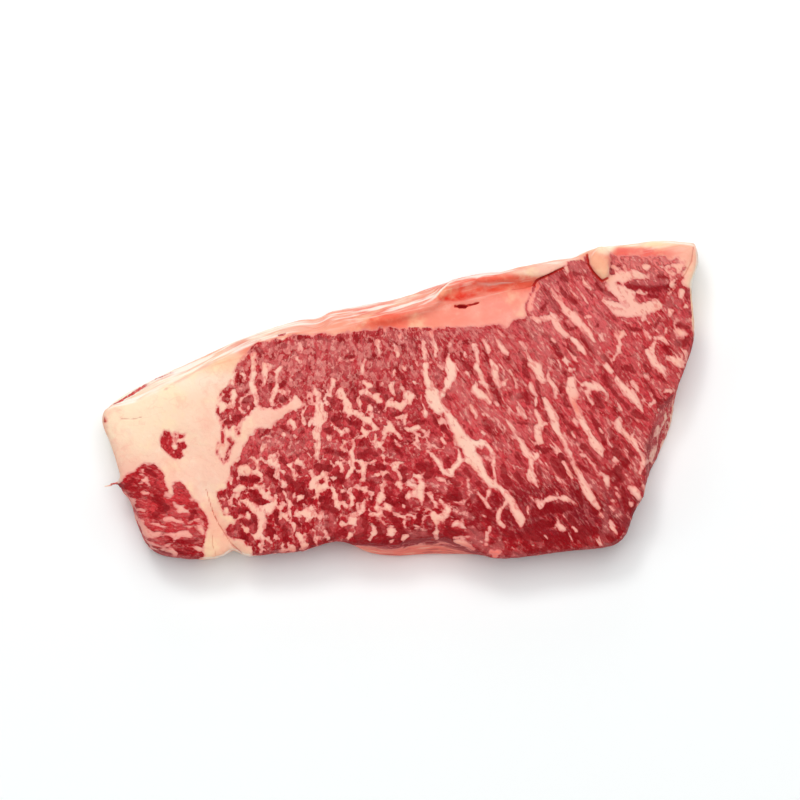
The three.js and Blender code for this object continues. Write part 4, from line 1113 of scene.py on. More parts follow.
    def marbling(self) -> tuple[np.ndarray, np.ndarray, np.ndarray]:
        """Shares out the kinds of marbling.

        Returns:
            For each point a bundle's reach in millimetres, its streakiness and its fineness.
        """
        weights = {cut: self._weight(cut) for cut in Cut}
        total = sum(weights.values())
        shares = {cut: weight / total for cut, weight in weights.items()}
        return tuple(sum(shares[cut] * cut.value[i] for cut in Cut) for i in range(3))

    def _stretch_hold(self, kind: Wall) -> np.ndarray:
        """How strongly the wall at each point is of one kind, from 0 to 1."""
        hold = np.zeros(len(self.at))
        for stretch in WALL_STRETCHES:
            if stretch.kind is kind:
                gap = line_gap(self.seen, stretch.ends)
                hold = np.maximum(hold, smooth((stretch.reach - gap) / (stretch.reach * self.stretch_blend)))
        return hold * self.wall

    def _wall_fat(self) -> np.ndarray:
        """The depth inside the fat that faces outwards on the wall."""
        fat = np.maximum(self._stretch_hold(Wall.CAP_FAT), self._stretch_hold(Wall.SOFT_FAT))
        return (fat - 0.5) * self.wall_fat_depth

    def membrane(self) -> np.ndarray:
        """How strongly silverskin covers the wall below the lean at each point, from 0 to 1."""
        hold = self._stretch_hold(Wall.MEMBRANE)
        return smooth((hold - self.membrane_start) / self.membrane_blend) * (1.0 - self.inside())

    def blended(self, tints: tuple[Tint, ...], ground: str) -> np.ndarray:
        """Blends soft patches of colour over a ground colour.

        Args:
            tints: The patches.
            ground: The colour where no patch reaches, as sRGB hex.

        Returns:
            Linear RGBA rows, one for each point.
        """
        colour = np.tile(np.array(linear(ground)) * self.ground_weight, (len(self.at), 1))
        total = np.full(len(self.at), self.ground_weight)
        for tint in tints:
            near = nearness(self.at, tint.at, tint.reach, self.tint_falloff)
            weight = near * tint.strength * self.tint_weight
            colour += weight[:, None] * np.array(linear(tint.colour))
            total += weight
        return colour / total[:, None]

    def crease(self) -> np.ndarray:
        """Works out the creases, whose depth also sets the painted shade in them.

        Returns:
            For each point, how far it is pressed in, in millimetres.
        """
        pressed = np.zeros(len(self.at))
        for crease in CREASES:
            gap = line_gap(self.seen, crease.path) * PHOTO.scale
            pressed = np.maximum(pressed, crease.depth * smooth(self.crease_reach - gap / crease.width))
        return pressed * smooth((self.normals[:, 2] - self.crease_tilt) / self.crease_blend)


@dataclass(frozen=True)
class Blotches:
    """A soft pattern: the size of its blotches each way in millimetres, and how many finer ones it adds."""

    size: Triple
    detail: float = 2.0

    def value(self, tree: bpy.types.NodeTree, place: Socket) -> Socket:
        """Adds the pattern.

        Args:
            tree: The material's node tree.
            place: The place, in millimetres.

        Returns:
            The pattern's value, mostly from 0.3 to 0.7.
        """
        # The pattern is turned after it is scaled, so that its own grid never lines up with the meat.
        shrink = tuple(1 / each for each in self.size)
        turned = add_node(tree, "Mapping", {"Vector": place, "Scale": shrink, "Rotation": NOISE_TURN})
        inputs = {"Vector": turned, "Scale": 1.0, "Detail": self.detail, "Roughness": 0.6}
        return add_node(tree, "TexNoise", inputs, "Fac")


@dataclass(frozen=True)
class Layer:
    """A colour laid over what is under it, where a pattern's value passes from low to high."""

    colour: str
    low: float
    high: float
    strength: float

    def over(
        self, tree: bpy.types.NodeTree, under: Socket, pattern: Socket, held: Socket | None = None
    ) -> Socket:
        """Lays the colour over.

        Args:
            tree: The material's node tree.
            under: The colour under it.
            pattern: The pattern's value.
            held: How much of the layer is let through, from 0 to 1, if not all of it.

        Returns:
            The joined colour.
        """
        passed = (pattern, self.low, self.high, 0.0, self.strength)
        share = add_node(tree, "MapRange", passed, interpolation_type="SMOOTHSTEP")
        if held is not None:
            share = add_node(tree, "Math", (share, held), operation="MULTIPLY")
        colours = {0: share, 6: under, 7: linear(self.colour)}
        return add_node(tree, "Mix", colours, 2, data_type="RGBA")


class MeatPattern:
    """The patterns that the meat's colour and relief share, as sockets of one material.

    Places and depths are in millimetres, and depths are negative outside.
    """

    stored_values = (
        "across", "along", "level", "fat_depth", "bundle", "inside", "band", "veil_depth",
        "clear_depth", "streaky", "fineness", "wall", "membrane", "crease",
    )
    stored_tints = ("fat_tint", "lean_tint")
    nicks_lobed = Blotches((1.4, 1.7, 1.7), 3.0)
    nicks_streaked = Blotches((1.0, 2.8, 2.4), 3.0)
    nick_range, nick_reach = (0.25, 0.75), (-0.6, 0.6)
    ragged_fat, ragged_clear, ragged_veil, ragged_flecks = 0.85, 1.2, 1.4, 0.6
    bulge_start, bulge = 1.4, (0.85, 0.5)
    bend_scale, bend = 0.4, (2.8, 4.5, 3.0)
    lobes, streaks = (2.7, 3.2, 3.8), (2.3, 8.0, 7.0)
    swells = Blotches((5.3, 8.3, 6.7))
    swell_range, swell_reach = (0.28, 0.72), (-0.7, 0.7)
    clear_margin = -0.3
    edge = (-0.22, 0.24)

    def __init__(self, tree: bpy.types.NodeTree) -> None:
        """Lays the patterns out.

        Args:
            tree: The node tree of the material that they are for.
        """
        self.tree = tree
        self.stored = {}
        for names, output in ((self.stored_values, "Fac"), (self.stored_tints, "Color")):
            for name in names:
                self.stored[name] = add_node(tree, "Attribute", output=output, attribute_name=name)
        self.outside = add_node(tree, "Math", (1.0, self.stored["inside"]), operation="SUBTRACT")
        place = add_node(tree, "TexCoord", output="Object")
        self.measured = add_node(tree, "VectorMath", (place, (1 / MM,) * 3), operation="MULTIPLY")
        self.grain = add_node(tree, "CombineXYZ", tuple(self.stored[name] for name in self.stored_values[:3]))
        self.nicks = self._nicks()
        self.reach, self.tone = self._bundles()
        self.clear = self._ragged("clear_depth", self.ragged_clear)
        self.veil = self._ragged("veil_depth", self.ragged_veil)
        self.fat_depth = self._fat_depth()
        met = (self.fat_depth, *self.edge)
        self.fat_share = add_node(tree, "MapRange", met, interpolation_type="SMOOTHSTEP")

    def by_streakiness(self, lobed: Socket, streaked: Socket) -> Socket:
        """Blends what lobed marbling has with what streaked marbling has."""
        values = {0: self.stored["streaky"], 2: lobed, 3: streaked}
        return add_node(self.tree, "Mix", values, data_type="FLOAT")

    def _nicks(self) -> Socket:
        """Adds the rounded nicks in which lean and fat meet: about 1.5 mm long, or 3 mm where streaky."""
        kinds = (kind.value(self.tree, self.grain) for kind in (self.nicks_lobed, self.nicks_streaked))
        passed = (self.by_streakiness(*kinds), *self.nick_range, *self.nick_reach)
        return add_node(self.tree, "MapRange", passed, clamp=False)

    def _ragged(self, name: str, amount: float) -> Socket:
        """Adds one of the skin's own depths, with its edge made ragged."""
        return add_node(self.tree, "Math", (self.nicks, amount, self.stored[name]), operation="MULTIPLY_ADD")

    def _bundles(self) -> tuple[Socket, Socket]:
        """Adds the bundles of lean that fat runs between: lobes in one part, streaks in another.

        Returns:
            The distance from the bundle's middle, and each bundle's own tone, 0 to 1.
        """
        # The bundles bend by about a third of their width, in bends about 2 mm long.
        tree = self.tree
        turned = add_node(tree, "Mapping", {"Vector": self.grain, "Rotation": NOISE_TURN})
        inputs = {"Vector": turned, "Scale": self.bend_scale, "Detail": 2.0, "Roughness": 0.55}
        bends = add_node(tree, "TexNoise", inputs, "Color")
        shifted = add_node(tree, "VectorMath", (bends, self.bend, self.grain), operation="MULTIPLY_ADD")
        reaches, tones = [], []
        for size in (self.lobes, self.streaks):
            shrink = tuple(1 / each for each in size)
            scaled = add_node(tree, "VectorMath", (shifted, shrink), operation="MULTIPLY")
            middle = add_node(tree, "TexVoronoi", {"Vector": scaled, "Scale": 1.0}, "Distance", feature="F1")
            reaches.append(add_node(tree, "Math", (middle, size[0]), operation="MULTIPLY"))
            tones.append(add_node(tree, "SeparateXYZ", (middle.node.outputs["Color"],)))
        return self.by_streakiness(*reaches), self.by_streakiness(*tones)

    def _fat_depth(self) -> Socket:
        """Adds the depth inside fat: the drawn seams, and the flecks between bundles."""
        tree = self.tree
        # Bundles of lean bulge into the drawn seams, and the fat fills the corners between them.
        drawn = self._ragged("fat_depth", self.ragged_fat)
        bulge = add_node(tree, "Math", (self.reach, self.bulge_start), operation="SUBTRACT")
        amount = add_node(tree, "MapRange", (self.stored["streaky"], *FULL, *self.bulge))
        held = add_node(tree, "Math", (amount, self.stored["inside"]), operation="MULTIPLY")
        seams = add_node(tree, "Math", (bulge, held, drawn), operation="MULTIPLY_ADD")
        # The flecks between bundles swell and close again every 6 mm or so.
        swell = self.swells.value(tree, self.grain)
        swollen = add_node(tree, "MapRange", (swell, *self.swell_range, *self.swell_reach), clamp=False)
        beyond = add_node(tree, "Math", (self.reach, self.stored["bundle"]), operation="SUBTRACT")
        swung = add_node(tree, "Math", (beyond, swollen), operation="ADD")
        flecks = add_node(tree, "Math", (self.nicks, self.ragged_flecks, swung), operation="MULTIPLY_ADD")
        # Clear lean keeps its flecks out.
        barred = add_node(tree, "Math", (self.clear, -1.0, self.clear_margin), operation="MULTIPLY_ADD")
        kept = add_node(tree, "Math", (flecks, barred), operation="MINIMUM")
        return add_node(tree, "Math", (seams, kept), operation="MAXIMUM")


@dataclass(frozen=True)
class RawMarbledBeef:
    """Raw marbled beef, knife-cut: lean with a wet satin gloss, and fat that is paler and duller.

    The wet cut gives small highlights, and the light that sinks into the fat gives it its warm glow.
    """

    name: str = "raw_beef_knife_cut_moist"
    ior: float = 1.27
    lean_roughness: float = 0.27
    fat_roughness: float = 0.46
    wall_roughness: float = 0.75
    fat_edge: str = "#ec8a84"
    fibres: Blotches = Blotches((0.95, 1.7, 1.7), 3.0)
    fine_blobs: Blotches = Blotches((2.1, 2.6, 2.6), 4.0)
    round_granules: Blotches = Blotches((1.4, 1.7, 1.7), 3.0)
    long_granules: Blotches = Blotches((1.1, 2.4, 2.2), 3.0)
    mottle: Blotches = Blotches((7.5, 7.5, 7.5), 5.0)
    hues: Blotches = Blotches((17.0, 17.0, 17.0), 4.0)
    vein_fields: Blotches = Blotches((14.0, 9.0, 9.0), 3.0)
    vein_level: float = 0.5
    fold_angle: float = -14.0
    folds: Blotches = Blotches((30.0, 2.3, 6.0), 3.0)
    lean_specks: Blotches = Blotches((1.5, 2.6, 2.2))
    sheets: Blotches = Blotches((20.0, 20.0, 4.2))
    membrane_streaks: Blotches = Blotches((9.0, 9.0, 1.9), 3.0)
    fibre_ends: Blotches = Blotches((0.9, 1.8, 1.7), 3.0)
    pits: Blotches = Blotches((1.8, 1.8, 1.8), 4.0)
    finest_range: Range = (0.45, 0.85)
    fine_hold: float = 0.55
    veil_range: Range = (-1.0, 0.5)
    veil_hold: Range = (0.15, 1.0)
    clear_range: Range = (-0.4, 0.3)
    clear_hold: Range = (1.0, 0.1)
    gap_shade_fill: float = -0.6
    thick_range: Range = (-0.2, 1.1)
    membrane_tint: float = 0.75
    membrane_fat: float = 0.25
    dome_range: Range = (2.0, 0.5)
    dome_height: float = 0.45
    fibre_height: float = 1.3
    fat_height: float = 0.45
    pit_height: float = 0.35
    dark_fibres: Layer = Layer("#8c0810", 0.49, 0.34, 0.62)
    pale_fibres: Layer = Layer("#ea7472", 0.53, 0.69, 0.5)
    dark_bundles: Layer = Layer("#92080f", 0.5, 0.0, 0.52)
    pale_bundles: Layer = Layer("#da6e6c", 0.5, 1.0, 0.36)
    bright_rim: Layer = Layer("#d41c26", -0.75, -0.05, 0.5)
    clear_lean: Layer = Layer("#980a14", -0.2, 0.3, 0.75)
    veil: Layer = Layer("#e5807c", -0.9, 0.6, 0.32)
    blobs: Layer = Layer("#ea857e", 0.5, 0.58, 0.85)
    granules: Layer = Layer("#f5a196", 0.52, 0.63, 0.9)
    # Painted shade in the grooves between bundles.
    gap_shade: Layer = Layer("#7c0a12", 1.4, 2.1, 0.5)
    cream: Layer = Layer("#fff1dc", 0.54, 0.75, 0.25)
    blush: Layer = Layer("#f39478", 0.47, 0.28, 0.3)
    butter: Layer = Layer("#ffe6b8", 0.5, 0.68, 0.5)
    rose: Layer = Layer("#f8b09a", 0.47, 0.3, 0.5)
    veins: Layer = Layer("#f0977c", 0.02, 0.0, 0.14)
    specks: Layer = Layer("#e2736e", 0.47, 0.33, 0.65)
    # Partly the fat's salmon, partly painted shade in the troughs of the cap's folds.
    orange_fold_shade: Layer = Layer("#f4765c", 0.49, 0.33, 0.48)
    cream_fold: Layer = Layer("#ffeede", 0.53, 0.68, 0.42)
    pink_sheet: Layer = Layer("#f8b29c", 0.47, 0.33, 0.55)
    cream_sheet: Layer = Layer("#fff8ec", 0.44, 0.6, 0.8)
    membrane_red: Layer = Layer("#a81c22", 0.48, 0.34, 0.5)
    # Painted sheen on the silverskin.
    membrane_sheen: Layer = Layer("#ffc6ac", 0.53, 0.68, 0.55)
    # Painted shade in the creases: red, then dark red where deepest.
    crease_shade_red: Layer = Layer("#c41d12", 0.15, 0.55, 0.9)
    crease_shade_dark: Layer = Layer("#86040a", 0.7, 1.4, 1.0)

    def make(self) -> bpy.types.Material:
        """Builds the material.

        Returns:
            The finished material.
        """
        made = bpy.data.materials.new(self.name)
        made.use_nodes = True
        tree = made.node_tree
        tree.nodes.clear()
        meat = MeatPattern(tree)
        bump = add_node(tree, "Bump", {"Height": self._height(meat), "Strength": 1.0, "Distance": 1.0 * MM})
        # The cut face is moist, and the walls are dry and dull.
        moist = add_node(tree, "MapRange", (meat.fat_share, *FULL, self.lean_roughness, self.fat_roughness))
        rough = add_node(tree, "MapRange", (meat.stored["wall"], *FULL, moist, self.wall_roughness))
        skin = add_node(
            tree,
            "BsdfPrincipled",
            {
                "Base Color": self._colour(meat),
                "Roughness": rough,
                "IOR": self.ior,
                "Subsurface Weight": 0.08,
                "Subsurface Radius": (1.0, 0.3, 0.2),
                "Subsurface Scale": 0.8 * MM,
                "Coat Weight": 0.06,
                "Coat Roughness": 0.14,
                "Normal": bump,
            },
        )
        surface = tree.nodes.new("ShaderNodeOutputMaterial").inputs["Surface"]
        tree.links.new(skin, surface)
        return made

    def _lean_colour(self, meat: MeatPattern) -> Socket:
        """Adds the lean: each bundle its own red, streaked by fibres, brighter against fat and with painted
        shade in the grooves between bundles.
        """
        tree = meat.tree
        colour = meat.stored["lean_tint"]
        # Muscle fibres about 1 mm apart darken and lighten the lean along the grain.
        fibres = self.fibres.value(tree, meat.grain)
        colour = self.dark_fibres.over(tree, colour, fibres)
        colour = self.pale_fibres.over(tree, colour, fibres)
        colour = self.dark_bundles.over(tree, colour, meat.tone)
        colour = self.pale_bundles.over(tree, colour, meat.tone)
        colour = self.bright_rim.over(tree, colour, meat.fat_depth)
        colour = self.clear_lean.over(tree, colour, meat.clear)
        # Thin fat just under the cut pales the lean where it is drawn.
        colour = self.veil.over(tree, colour, meat.veil)
        # The finest marbling is crinkled blobs of pink, 2 to 3 mm across.
        fineness = meat.stored["fineness"]
        finest = add_node(tree, "MapRange", (fineness, *self.finest_range))
        blobs = self.fine_blobs.value(tree, meat.grain)
        colour = self.blobs.over(tree, colour, blobs, finest)
        # Over them lie pale granules about 1.5 mm across, drawn out where the grain is streaky.
        kinds = (kind.value(tree, meat.grain) for kind in (self.round_granules, self.long_granules))
        granules = meat.by_streakiness(*kinds)
        veiled = add_node(tree, "MapRange", (meat.veil, *self.veil_range, *self.veil_hold))
        fine = add_node(tree, "Math", (fineness, self.fine_hold, veiled), operation="MULTIPLY_ADD")
        bare = add_node(tree, "MapRange", (meat.clear, *self.clear_range, *self.clear_hold))
        held = add_node(tree, "Math", (fine, bare), operation="MULTIPLY", use_clamp=True)
        colour = self.granules.over(tree, colour, granules, held)
        # Painted shade darkens the grooves between bundles, but not where the finest marbling fills them.
        open_gap_shade = add_node(tree, "Math", (finest, self.gap_shade_fill, 1.0), operation="MULTIPLY_ADD")
        return self.gap_shade.over(tree, colour, meat.reach, open_gap_shade)

    def _fat_colour(self, meat: MeatPattern) -> Socket:
        """Adds the fat: pink where thin, mottled with cream and blush, and in sheets on the walls."""
        tree = meat.tree
        passed = (meat.fat_depth, *self.thick_range)
        thick = add_node(tree, "MapRange", passed, interpolation_type="SMOOTHSTEP")
        colours = {0: thick, 6: linear(self.fat_edge), 7: meat.stored["fat_tint"]}
        colour = add_node(tree, "Mix", colours, 2, data_type="RGBA")
        mottle = self.mottle.value(tree, meat.measured)
        colour = self.cream.over(tree, colour, mottle)
        colour = self.blush.over(tree, colour, mottle)
        # The outer fat is clouded with butter and rose, and fine veins run through it.
        hues = self.hues.value(tree, meat.measured)
        colour = self.butter.over(tree, colour, hues, meat.outside)
        colour = self.rose.over(tree, colour, hues, meat.outside)
        vein = self.vein_fields.value(tree, meat.measured)
        past = add_node(tree, "Math", (vein, self.vein_level), operation="SUBTRACT")
        apart = add_node(tree, "Math", (past,), operation="ABSOLUTE")
        colour = self.veins.over(tree, colour, apart, meat.outside)
        # The fat cap lies in long folds, about 2.5 mm wide, along its edge: orange is salmon fat plus painted
        # shade.
        band = meat.stored["band"]
        inputs = {"Vector": meat.measured, "Angle": math.radians(self.fold_angle)}
        turned = add_node(tree, "VectorRotate", inputs, rotation_type="Z_AXIS")
        folds = self.folds.value(tree, turned)
        colour = self.orange_fold_shade.over(tree, colour, folds, band)
        colour = self.cream_fold.over(tree, colour, folds, band)
        # Inside the muscles the fat is flecked with lean.
        specks = self.lean_specks.value(tree, meat.grain)
        colour = self.specks.over(tree, colour, specks, meat.stored["inside"])
        # On the walls the fat shows its sheets, about 4 mm thick and level with the board.
        outer_wall = add_node(tree, "Math", (meat.stored["wall"], meat.outside), operation="MULTIPLY")
        uncovered = (outer_wall, meat.stored["membrane"])
        bare = add_node(tree, "Math", uncovered, operation="SUBTRACT", use_clamp=True)
        sheets = self.sheets.value(tree, meat.measured)
        colour = self.pink_sheet.over(tree, colour, sheets, bare)
        return self.cream_sheet.over(tree, colour, sheets, bare)

    def _colour(self, meat: MeatPattern) -> Socket:
        """Adds the whole colour: lean and fat, the membrane on the walls and the painted shade in the
        creases.
        """
        tree = meat.tree
        fat = self._fat_colour(meat)
        colours = {0: meat.fat_share, 6: self._lean_colour(meat), 7: fat}
        colour = add_node(tree, "Mix", colours, 2, data_type="RGBA")
        membrane = meat.stored["membrane"]
        for strength, cover in ((self.membrane_tint, meat.stored["fat_tint"]), (self.membrane_fat, fat)):
            share = add_node(tree, "Math", (membrane, strength), operation="MULTIPLY")
            colour = add_node(tree, "Mix", {0: share, 6: colour, 7: cover}, 2, data_type="RGBA")
        streaks = self.membrane_streaks.value(tree, meat.measured)
        # Darker red streaks, and pale streaks of painted sheen, run along the silverskin.
        colour = self.membrane_red.over(tree, colour, streaks, membrane)
        colour = self.membrane_sheen.over(tree, colour, streaks, membrane)
        # The creases get painted shade: red, then dark red where they are deepest.
        crease = meat.stored["crease"]
        colour = self.crease_shade_red.over(tree, colour, crease)
        return self.crease_shade_dark.over(tree, colour, crease)

    def _height(self, meat: MeatPattern) -> Socket:
        """Adds the relief that is too fine for the mesh, in millimetres.

        Returns:
            The height: domed bundles, fibre ends and proud, faintly pitted fat.
        """
        tree = meat.tree
        passed = (meat.reach, *self.dome_range, 0.0, self.dome_height)
        dome = add_node(tree, "MapRange", passed, interpolation_type="SMOOTHSTEP")
        fibres = self.fibre_ends.value(tree, meat.grain)
        rough_lean = add_node(tree, "Math", (fibres, self.fibre_height, dome), operation="MULTIPLY_ADD")
        lean_share = add_node(tree, "Math", (1.0, meat.fat_share), operation="SUBTRACT")
        lean = add_node(tree, "Math", (rough_lean, lean_share), operation="MULTIPLY")
        pits = self.pits.value(tree, meat.measured)
        proud = add_node(tree, "Math", (pits, self.pit_height, self.fat_height), operation="MULTIPLY_ADD")
        fat = add_node(tree, "Math", (proud, meat.fat_share), operation="MULTIPLY")
        return add_node(tree, "Math", (lean, fat), operation="ADD")


@dataclass(frozen=True)
class SteakSkin:
    """The steak's visible skin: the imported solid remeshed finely, with the meat's own relief.

    The weld and the voxel are in metres, and the relief and its patterns in millimetres. Tops and
    bottoms are shares of the thickness, and a tilt is the upward part of a point's normal.
    """

    node: bpy.types.Object
    weld_gap: float = 0.002 * MM
    voxel: float = 1.15 * MM
    smoothing: float = 0.5
    face_rounds: int = 5
    rim_rounds: int = 3
    rim_top: float = 0.5
    face_bottom: float = 0.6
    face_tilt: float = 0.5
    smoothed_tilt: float = 0.4
    crease_sink: float = 0.55
    band_start: float = -1.5
    band_blend: float = 3.0
    fat_rise: float = 0.28
    lean_sink: float = 0.12
    rise_start: float = -0.5
    rise_blend: float = 1.2
    relief_tilt: float = -0.6
    relief_blend: float = 0.5
    fibre_size: Triple = (1.6, 5.0, 4.0)
    fibre_shift: float = 3.0
    fibre_noise: tuple[float, float, int] = (0.8, 2.1, 3)
    fibre_rise: float = 0.14
    lump_size: Triple = (6.0, 8.0, 8.0)
    lump_shift: float = 9.0
    lump_rise: float = 0.16
    fat_ground: str = "#f8bba6"
    lean_ground: str = "#a3222a"

    @property
    def thickness(self) -> float:
        """The steak's thickness in millimetres."""
        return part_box("steak")[1].z / MM

    def build(self) -> bpy.types.Object:
        """Makes the skin.

        Returns:
            The finished object.
        """
        mesh = self.node.data.copy()
        mesh.name = "steak_meat"
        mesh.materials.clear()
        made = bpy.data.objects.new("steak_meat", mesh)
        bpy.context.scene.collection.objects.link(made)
        self._weld(mesh)
        self._remesh(made)
        self._refine_face(made.data)
        self._dress_points(made.data)
        return made

    def _weld(self, mesh: bpy.types.Mesh) -> None:
        """Joins the solid's loose triangles into one closed mesh."""
        bm = bmesh.new()
        bm.from_mesh(mesh)
        bmesh.ops.remove_doubles(bm, verts=bm.verts, dist=self.weld_gap)
        bm.to_mesh(mesh)
        bm.free()

    def _remesh(self, made: bpy.types.Object) -> None:
        """Gives the mesh an even grid of small faces."""
        modifier = made.modifiers.new("remesh", "REMESH")
        modifier.mode = "VOXEL"
        modifier.voxel_size = self.voxel
        modifier.adaptivity = 0.0
        bpy.context.view_layer.update()
        fine = bpy.data.meshes.new_from_object(made.evaluated_get(bpy.context.evaluated_depsgraph_get()))
        made.modifiers.clear()
        made.data = fine
        fine.name = "steak_meat"

    def _smooth(self, bm: bmesh.types.BMesh, verts: object, rounds: int = 1, upright: bool = True) -> None:
        """Smooths points a number of times, and only sideways where upright is off."""
        axes = {"use_axis_x": True, "use_axis_y": True, "use_axis_z": upright}
        for _ in range(rounds):
            bmesh.ops.smooth_vert(bm, verts=verts, factor=self.smoothing, **axes)

    def _refine_face(self, mesh: bpy.types.Mesh) -> None:
        """Splits the upper cut face once more and smooths the facets away."""
        height = self.thickness * MM
        bottom = height * self.face_bottom
        bm = bmesh.new()
        bm.from_mesh(mesh)
        self._smooth(bm, bm.verts)
        # The lower rim is smoothed only sideways, so that the underside stays flat.
        lower = [v for v in bm.verts if v.co.z < height * self.rim_top]
        self._smooth(bm, lower, self.rim_rounds, upright=False)
        bm.normal_update()
        face = [f for f in bm.faces if f.normal.z > self.face_tilt and f.calc_center_median().z > bottom]
        edges = list({e for f in face for e in f.edges})
        bmesh.ops.subdivide_edges(bm, edges=edges, cuts=1, use_grid_fill=True)
        bm.normal_update()
        upper = [v for v in bm.verts if v.normal.z > self.smoothed_tilt and v.co.z > bottom]
        self._smooth(bm, upper, self.face_rounds)
        bm.to_mesh(mesh)
        bm.free()
        mesh.shade_smooth()

    def _dress_points(self, mesh: bpy.types.Mesh) -> None:
        """Works out the meat at each point, gives the points its relief and stores what the finish reads."""
        flat = np.empty(len(mesh.vertices) * 3, np.float32)
        mesh.vertices.foreach_get("co", flat)
        points = flat.reshape(-1, 3).astype(float) / MM
        mesh.vertices.foreach_get("normal", flat)
        normals = flat.reshape(-1, 3).astype(float)
        meat = MeatMap(points, normals, self.thickness)
        bundle, streaky, fineness = meat.marbling()
        values = {
            "across": meat.across,
            "along": meat.along,
            "level": meat.level,
            "fat_depth": meat.fat_depth(),
            "bundle": bundle,
            "inside": meat.inside(),
            "band": smooth((meat.drawn_depth((BAND,)) - self.band_start) / self.band_blend),
            "veil_depth": meat.drawn_depth(VEIL_STROKES),
            "clear_depth": meat.drawn_depth(CLEAR_STROKES),
            "streaky": streaky,
            "fineness": fineness,
            "wall": meat.wall,
            "membrane": meat.membrane(),
            "crease": meat.crease(),
        }
        # Fat stands proud of the lean, fibres and lumps roughen both, and the creases are pressed in.
        proud = smooth((values["fat_depth"] - self.rise_start) / self.rise_blend)
        fibres = fractal(meat.grain_points(self.fibre_size) + self.fibre_shift, *self.fibre_noise)
        lumps = fractal(meat.grain_points(self.lump_size) + self.lump_shift)
        lift = self.fat_rise * proud - self.lean_sink
        lift += fibres * values["inside"] * self.fibre_rise
        lift += lumps * self.lump_rise
        lift *= smooth((normals[:, 2] - self.relief_tilt) / self.relief_blend)
        lift -= values["crease"] * self.crease_sink
        moved = (points + normals * lift[:, None]) * MM
        mesh.vertices.foreach_set("co", moved.astype(np.float32).ravel())
        for name, value in values.items():
            layer = mesh.attributes.new(name, "FLOAT", "POINT")
            layer.data.foreach_set("value", value.astype(np.float32))
        tints = {"fat_tint": (FAT_TINTS, self.fat_ground), "lean_tint": (LEAN_TINTS, self.lean_ground)}
        for name, (patches, ground) in tints.items():
            layer = mesh.attributes.new(name, "FLOAT_COLOR", "POINT")
            layer.data.foreach_set("color", meat.blended(patches, ground).astype(np.float32).ravel())
        mesh.update()

    def dress(self, made: bpy.types.Object) -> None:
        """Gives the skin its finish."""
        made.data.materials.append(RawMarbledBeef().make())


@dataclass(frozen=True)
class PaintedFloor:
    """A matt white painted studio floor, so pale and even that only the soft shadow shows on it."""

    name: str = "white_matt_painted_floor"
    colour: str = "#fdfefe"
    roughness: float = 0.9
    gloss: float = 0.1
    size: float = 6.0

    def build(self) -> bpy.types.Object:
        """Makes the floor and its finish.

        Returns:
            The floor's object.
        """
        mesh = bpy.data.meshes.new("floor")
        bm = bmesh.new()
        bmesh.ops.create_grid(bm, x_segments=1, y_segments=1, size=self.size / 2)
        bm.to_mesh(mesh)
        bm.free()
        made = bpy.data.objects.new("floor", mesh)
        bpy.context.scene.collection.objects.link(made)
        paint = bpy.data.materials.new(self.name)
        paint.use_nodes = True
        shader = paint.node_tree.nodes["Principled BSDF"]
        shader.inputs["Base Color"].default_value = linear(self.colour)
        shader.inputs["Roughness"].default_value = self.roughness
        shader.inputs["Specular IOR Level"].default_value = self.gloss
        mesh.materials.append(paint)
        return made


@dataclass(frozen=True)
class SoftLight:
    """A square soft light that hangs over the steak and faces it."""

    name: str
    at: Triple
    size: float
    watts: float
    mirrored: bool = True

    def build(self) -> bpy.types.Object:
        """Makes the light.

        Returns:
            The light's object.
        """
        lamp = bpy.data.lights.new(self.name, "AREA")
        lamp.shape = "SQUARE"
        lamp.size = self.size
        lamp.energy = self.watts
        made = bpy.data.objects.new(self.name, lamp)
        made.location = self.at
        made.rotation_euler = (-Vector(self.at)).to_track_quat("-Z", "Y").to_euler()
        made.visible_glossy = self.mirrored
        bpy.context.scene.collection.objects.link(made)
        return made


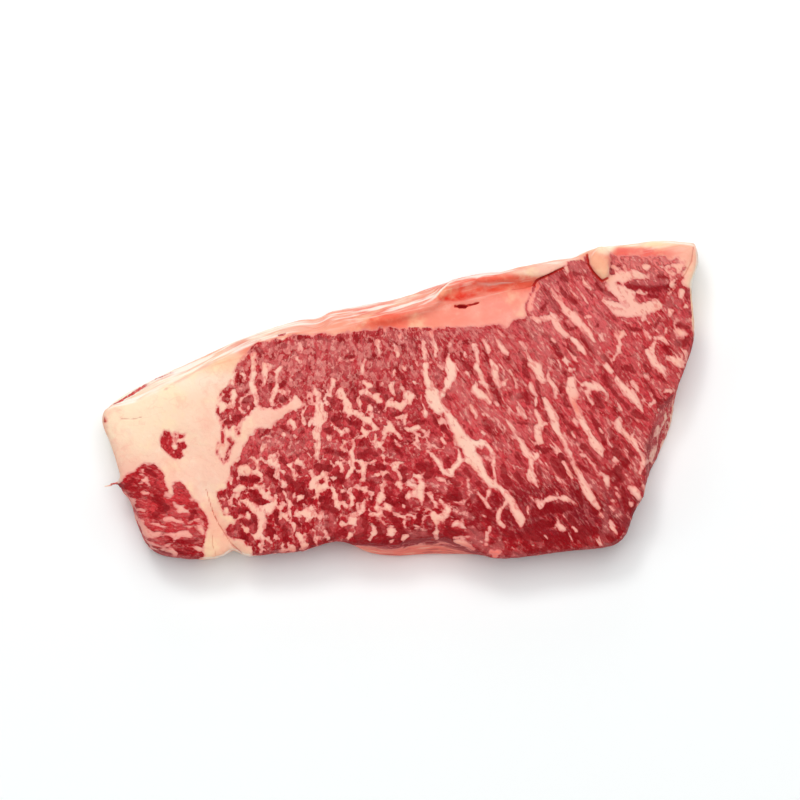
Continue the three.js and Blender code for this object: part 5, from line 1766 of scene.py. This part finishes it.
@dataclass(frozen=True)
class Studio:
    """The floor, the lights and the camera."""

    camera_height: float = 2.0
    sensor: float = 36.0
    far: float = 20.0
    sky: float = 0.09
    sky_colour: Colour = (0.8, 1.0, 1.0, 1.0)
    lights: tuple[SoftLight, ...] = (
        # The key's mirror image would veil the cut face, so only the small light is mirrored from above.
        SoftLight("key_from_above", (0.0, 0.8, 2.2), 1.9, 42.0, False),
        SoftLight("glints_from_above", (-0.35, 1.0, 1.5), 0.35, 5.2),
        SoftLight("fill_front", (0.0, -1.6, 0.6), 0.9, 6.0, False),
        SoftLight("fill_back", (0.0, 1.6, 0.6), 0.9, 3.0, False),
        SoftLight("fill_left", (-1.4, -0.1, 1.0), 0.9, 3.8),
        SoftLight("fill_right", (1.4, -0.1, 1.0), 0.9, 3.8),
    )

    def build(self) -> None:
        """Makes the stage and sets the scene's camera and sky."""
        PaintedFloor().build()
        for light in self.lights:
            light.build()
        world = bpy.data.worlds.new("studio")
        world.use_nodes = True
        background = world.node_tree.nodes["Background"]
        background.inputs["Color"].default_value = self.sky_colour
        background.inputs["Strength"].default_value = self.sky
        scene = bpy.context.scene
        scene.world = world
        scene.view_settings.view_transform = "Standard"
        scene.camera = self._camera()

    def _camera(self) -> bpy.types.Object:
        """Makes the camera that looks straight down, framed as the photograph is."""
        middle = PHOTO.mm((PICTURE_WIDTH / 2, PICTURE_WIDTH / 2)) * MM
        low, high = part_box("steak")
        seen = PICTURE_WIDTH * PHOTO.scale * MM
        eye = bpy.data.cameras.new("camera")
        eye.sensor_width = self.sensor
        eye.lens = self.sensor * (self.camera_height - (low.z + high.z) / 2) / seen
        eye.clip_end = self.far
        made = bpy.data.objects.new("camera", eye)
        made.location = (middle[0], middle[1], self.camera_height)
        bpy.context.scene.collection.objects.link(made)
        return made


def main() -> None:
    """Builds the studio and the steak, and reports each piece."""
    logging.basicConfig(level=logging.INFO, format="%(name)s: %(message)s")
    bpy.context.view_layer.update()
    Studio().build()
    skin = SteakSkin(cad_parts["steak"])
    meat = skin.build()
    skin.dress(meat)
    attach(meat, "root")
    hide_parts("steak")
    LOG.info("%s: %d faces", meat.name, len(meat.data.polygons))


if __name__ == "__main__":
    main()
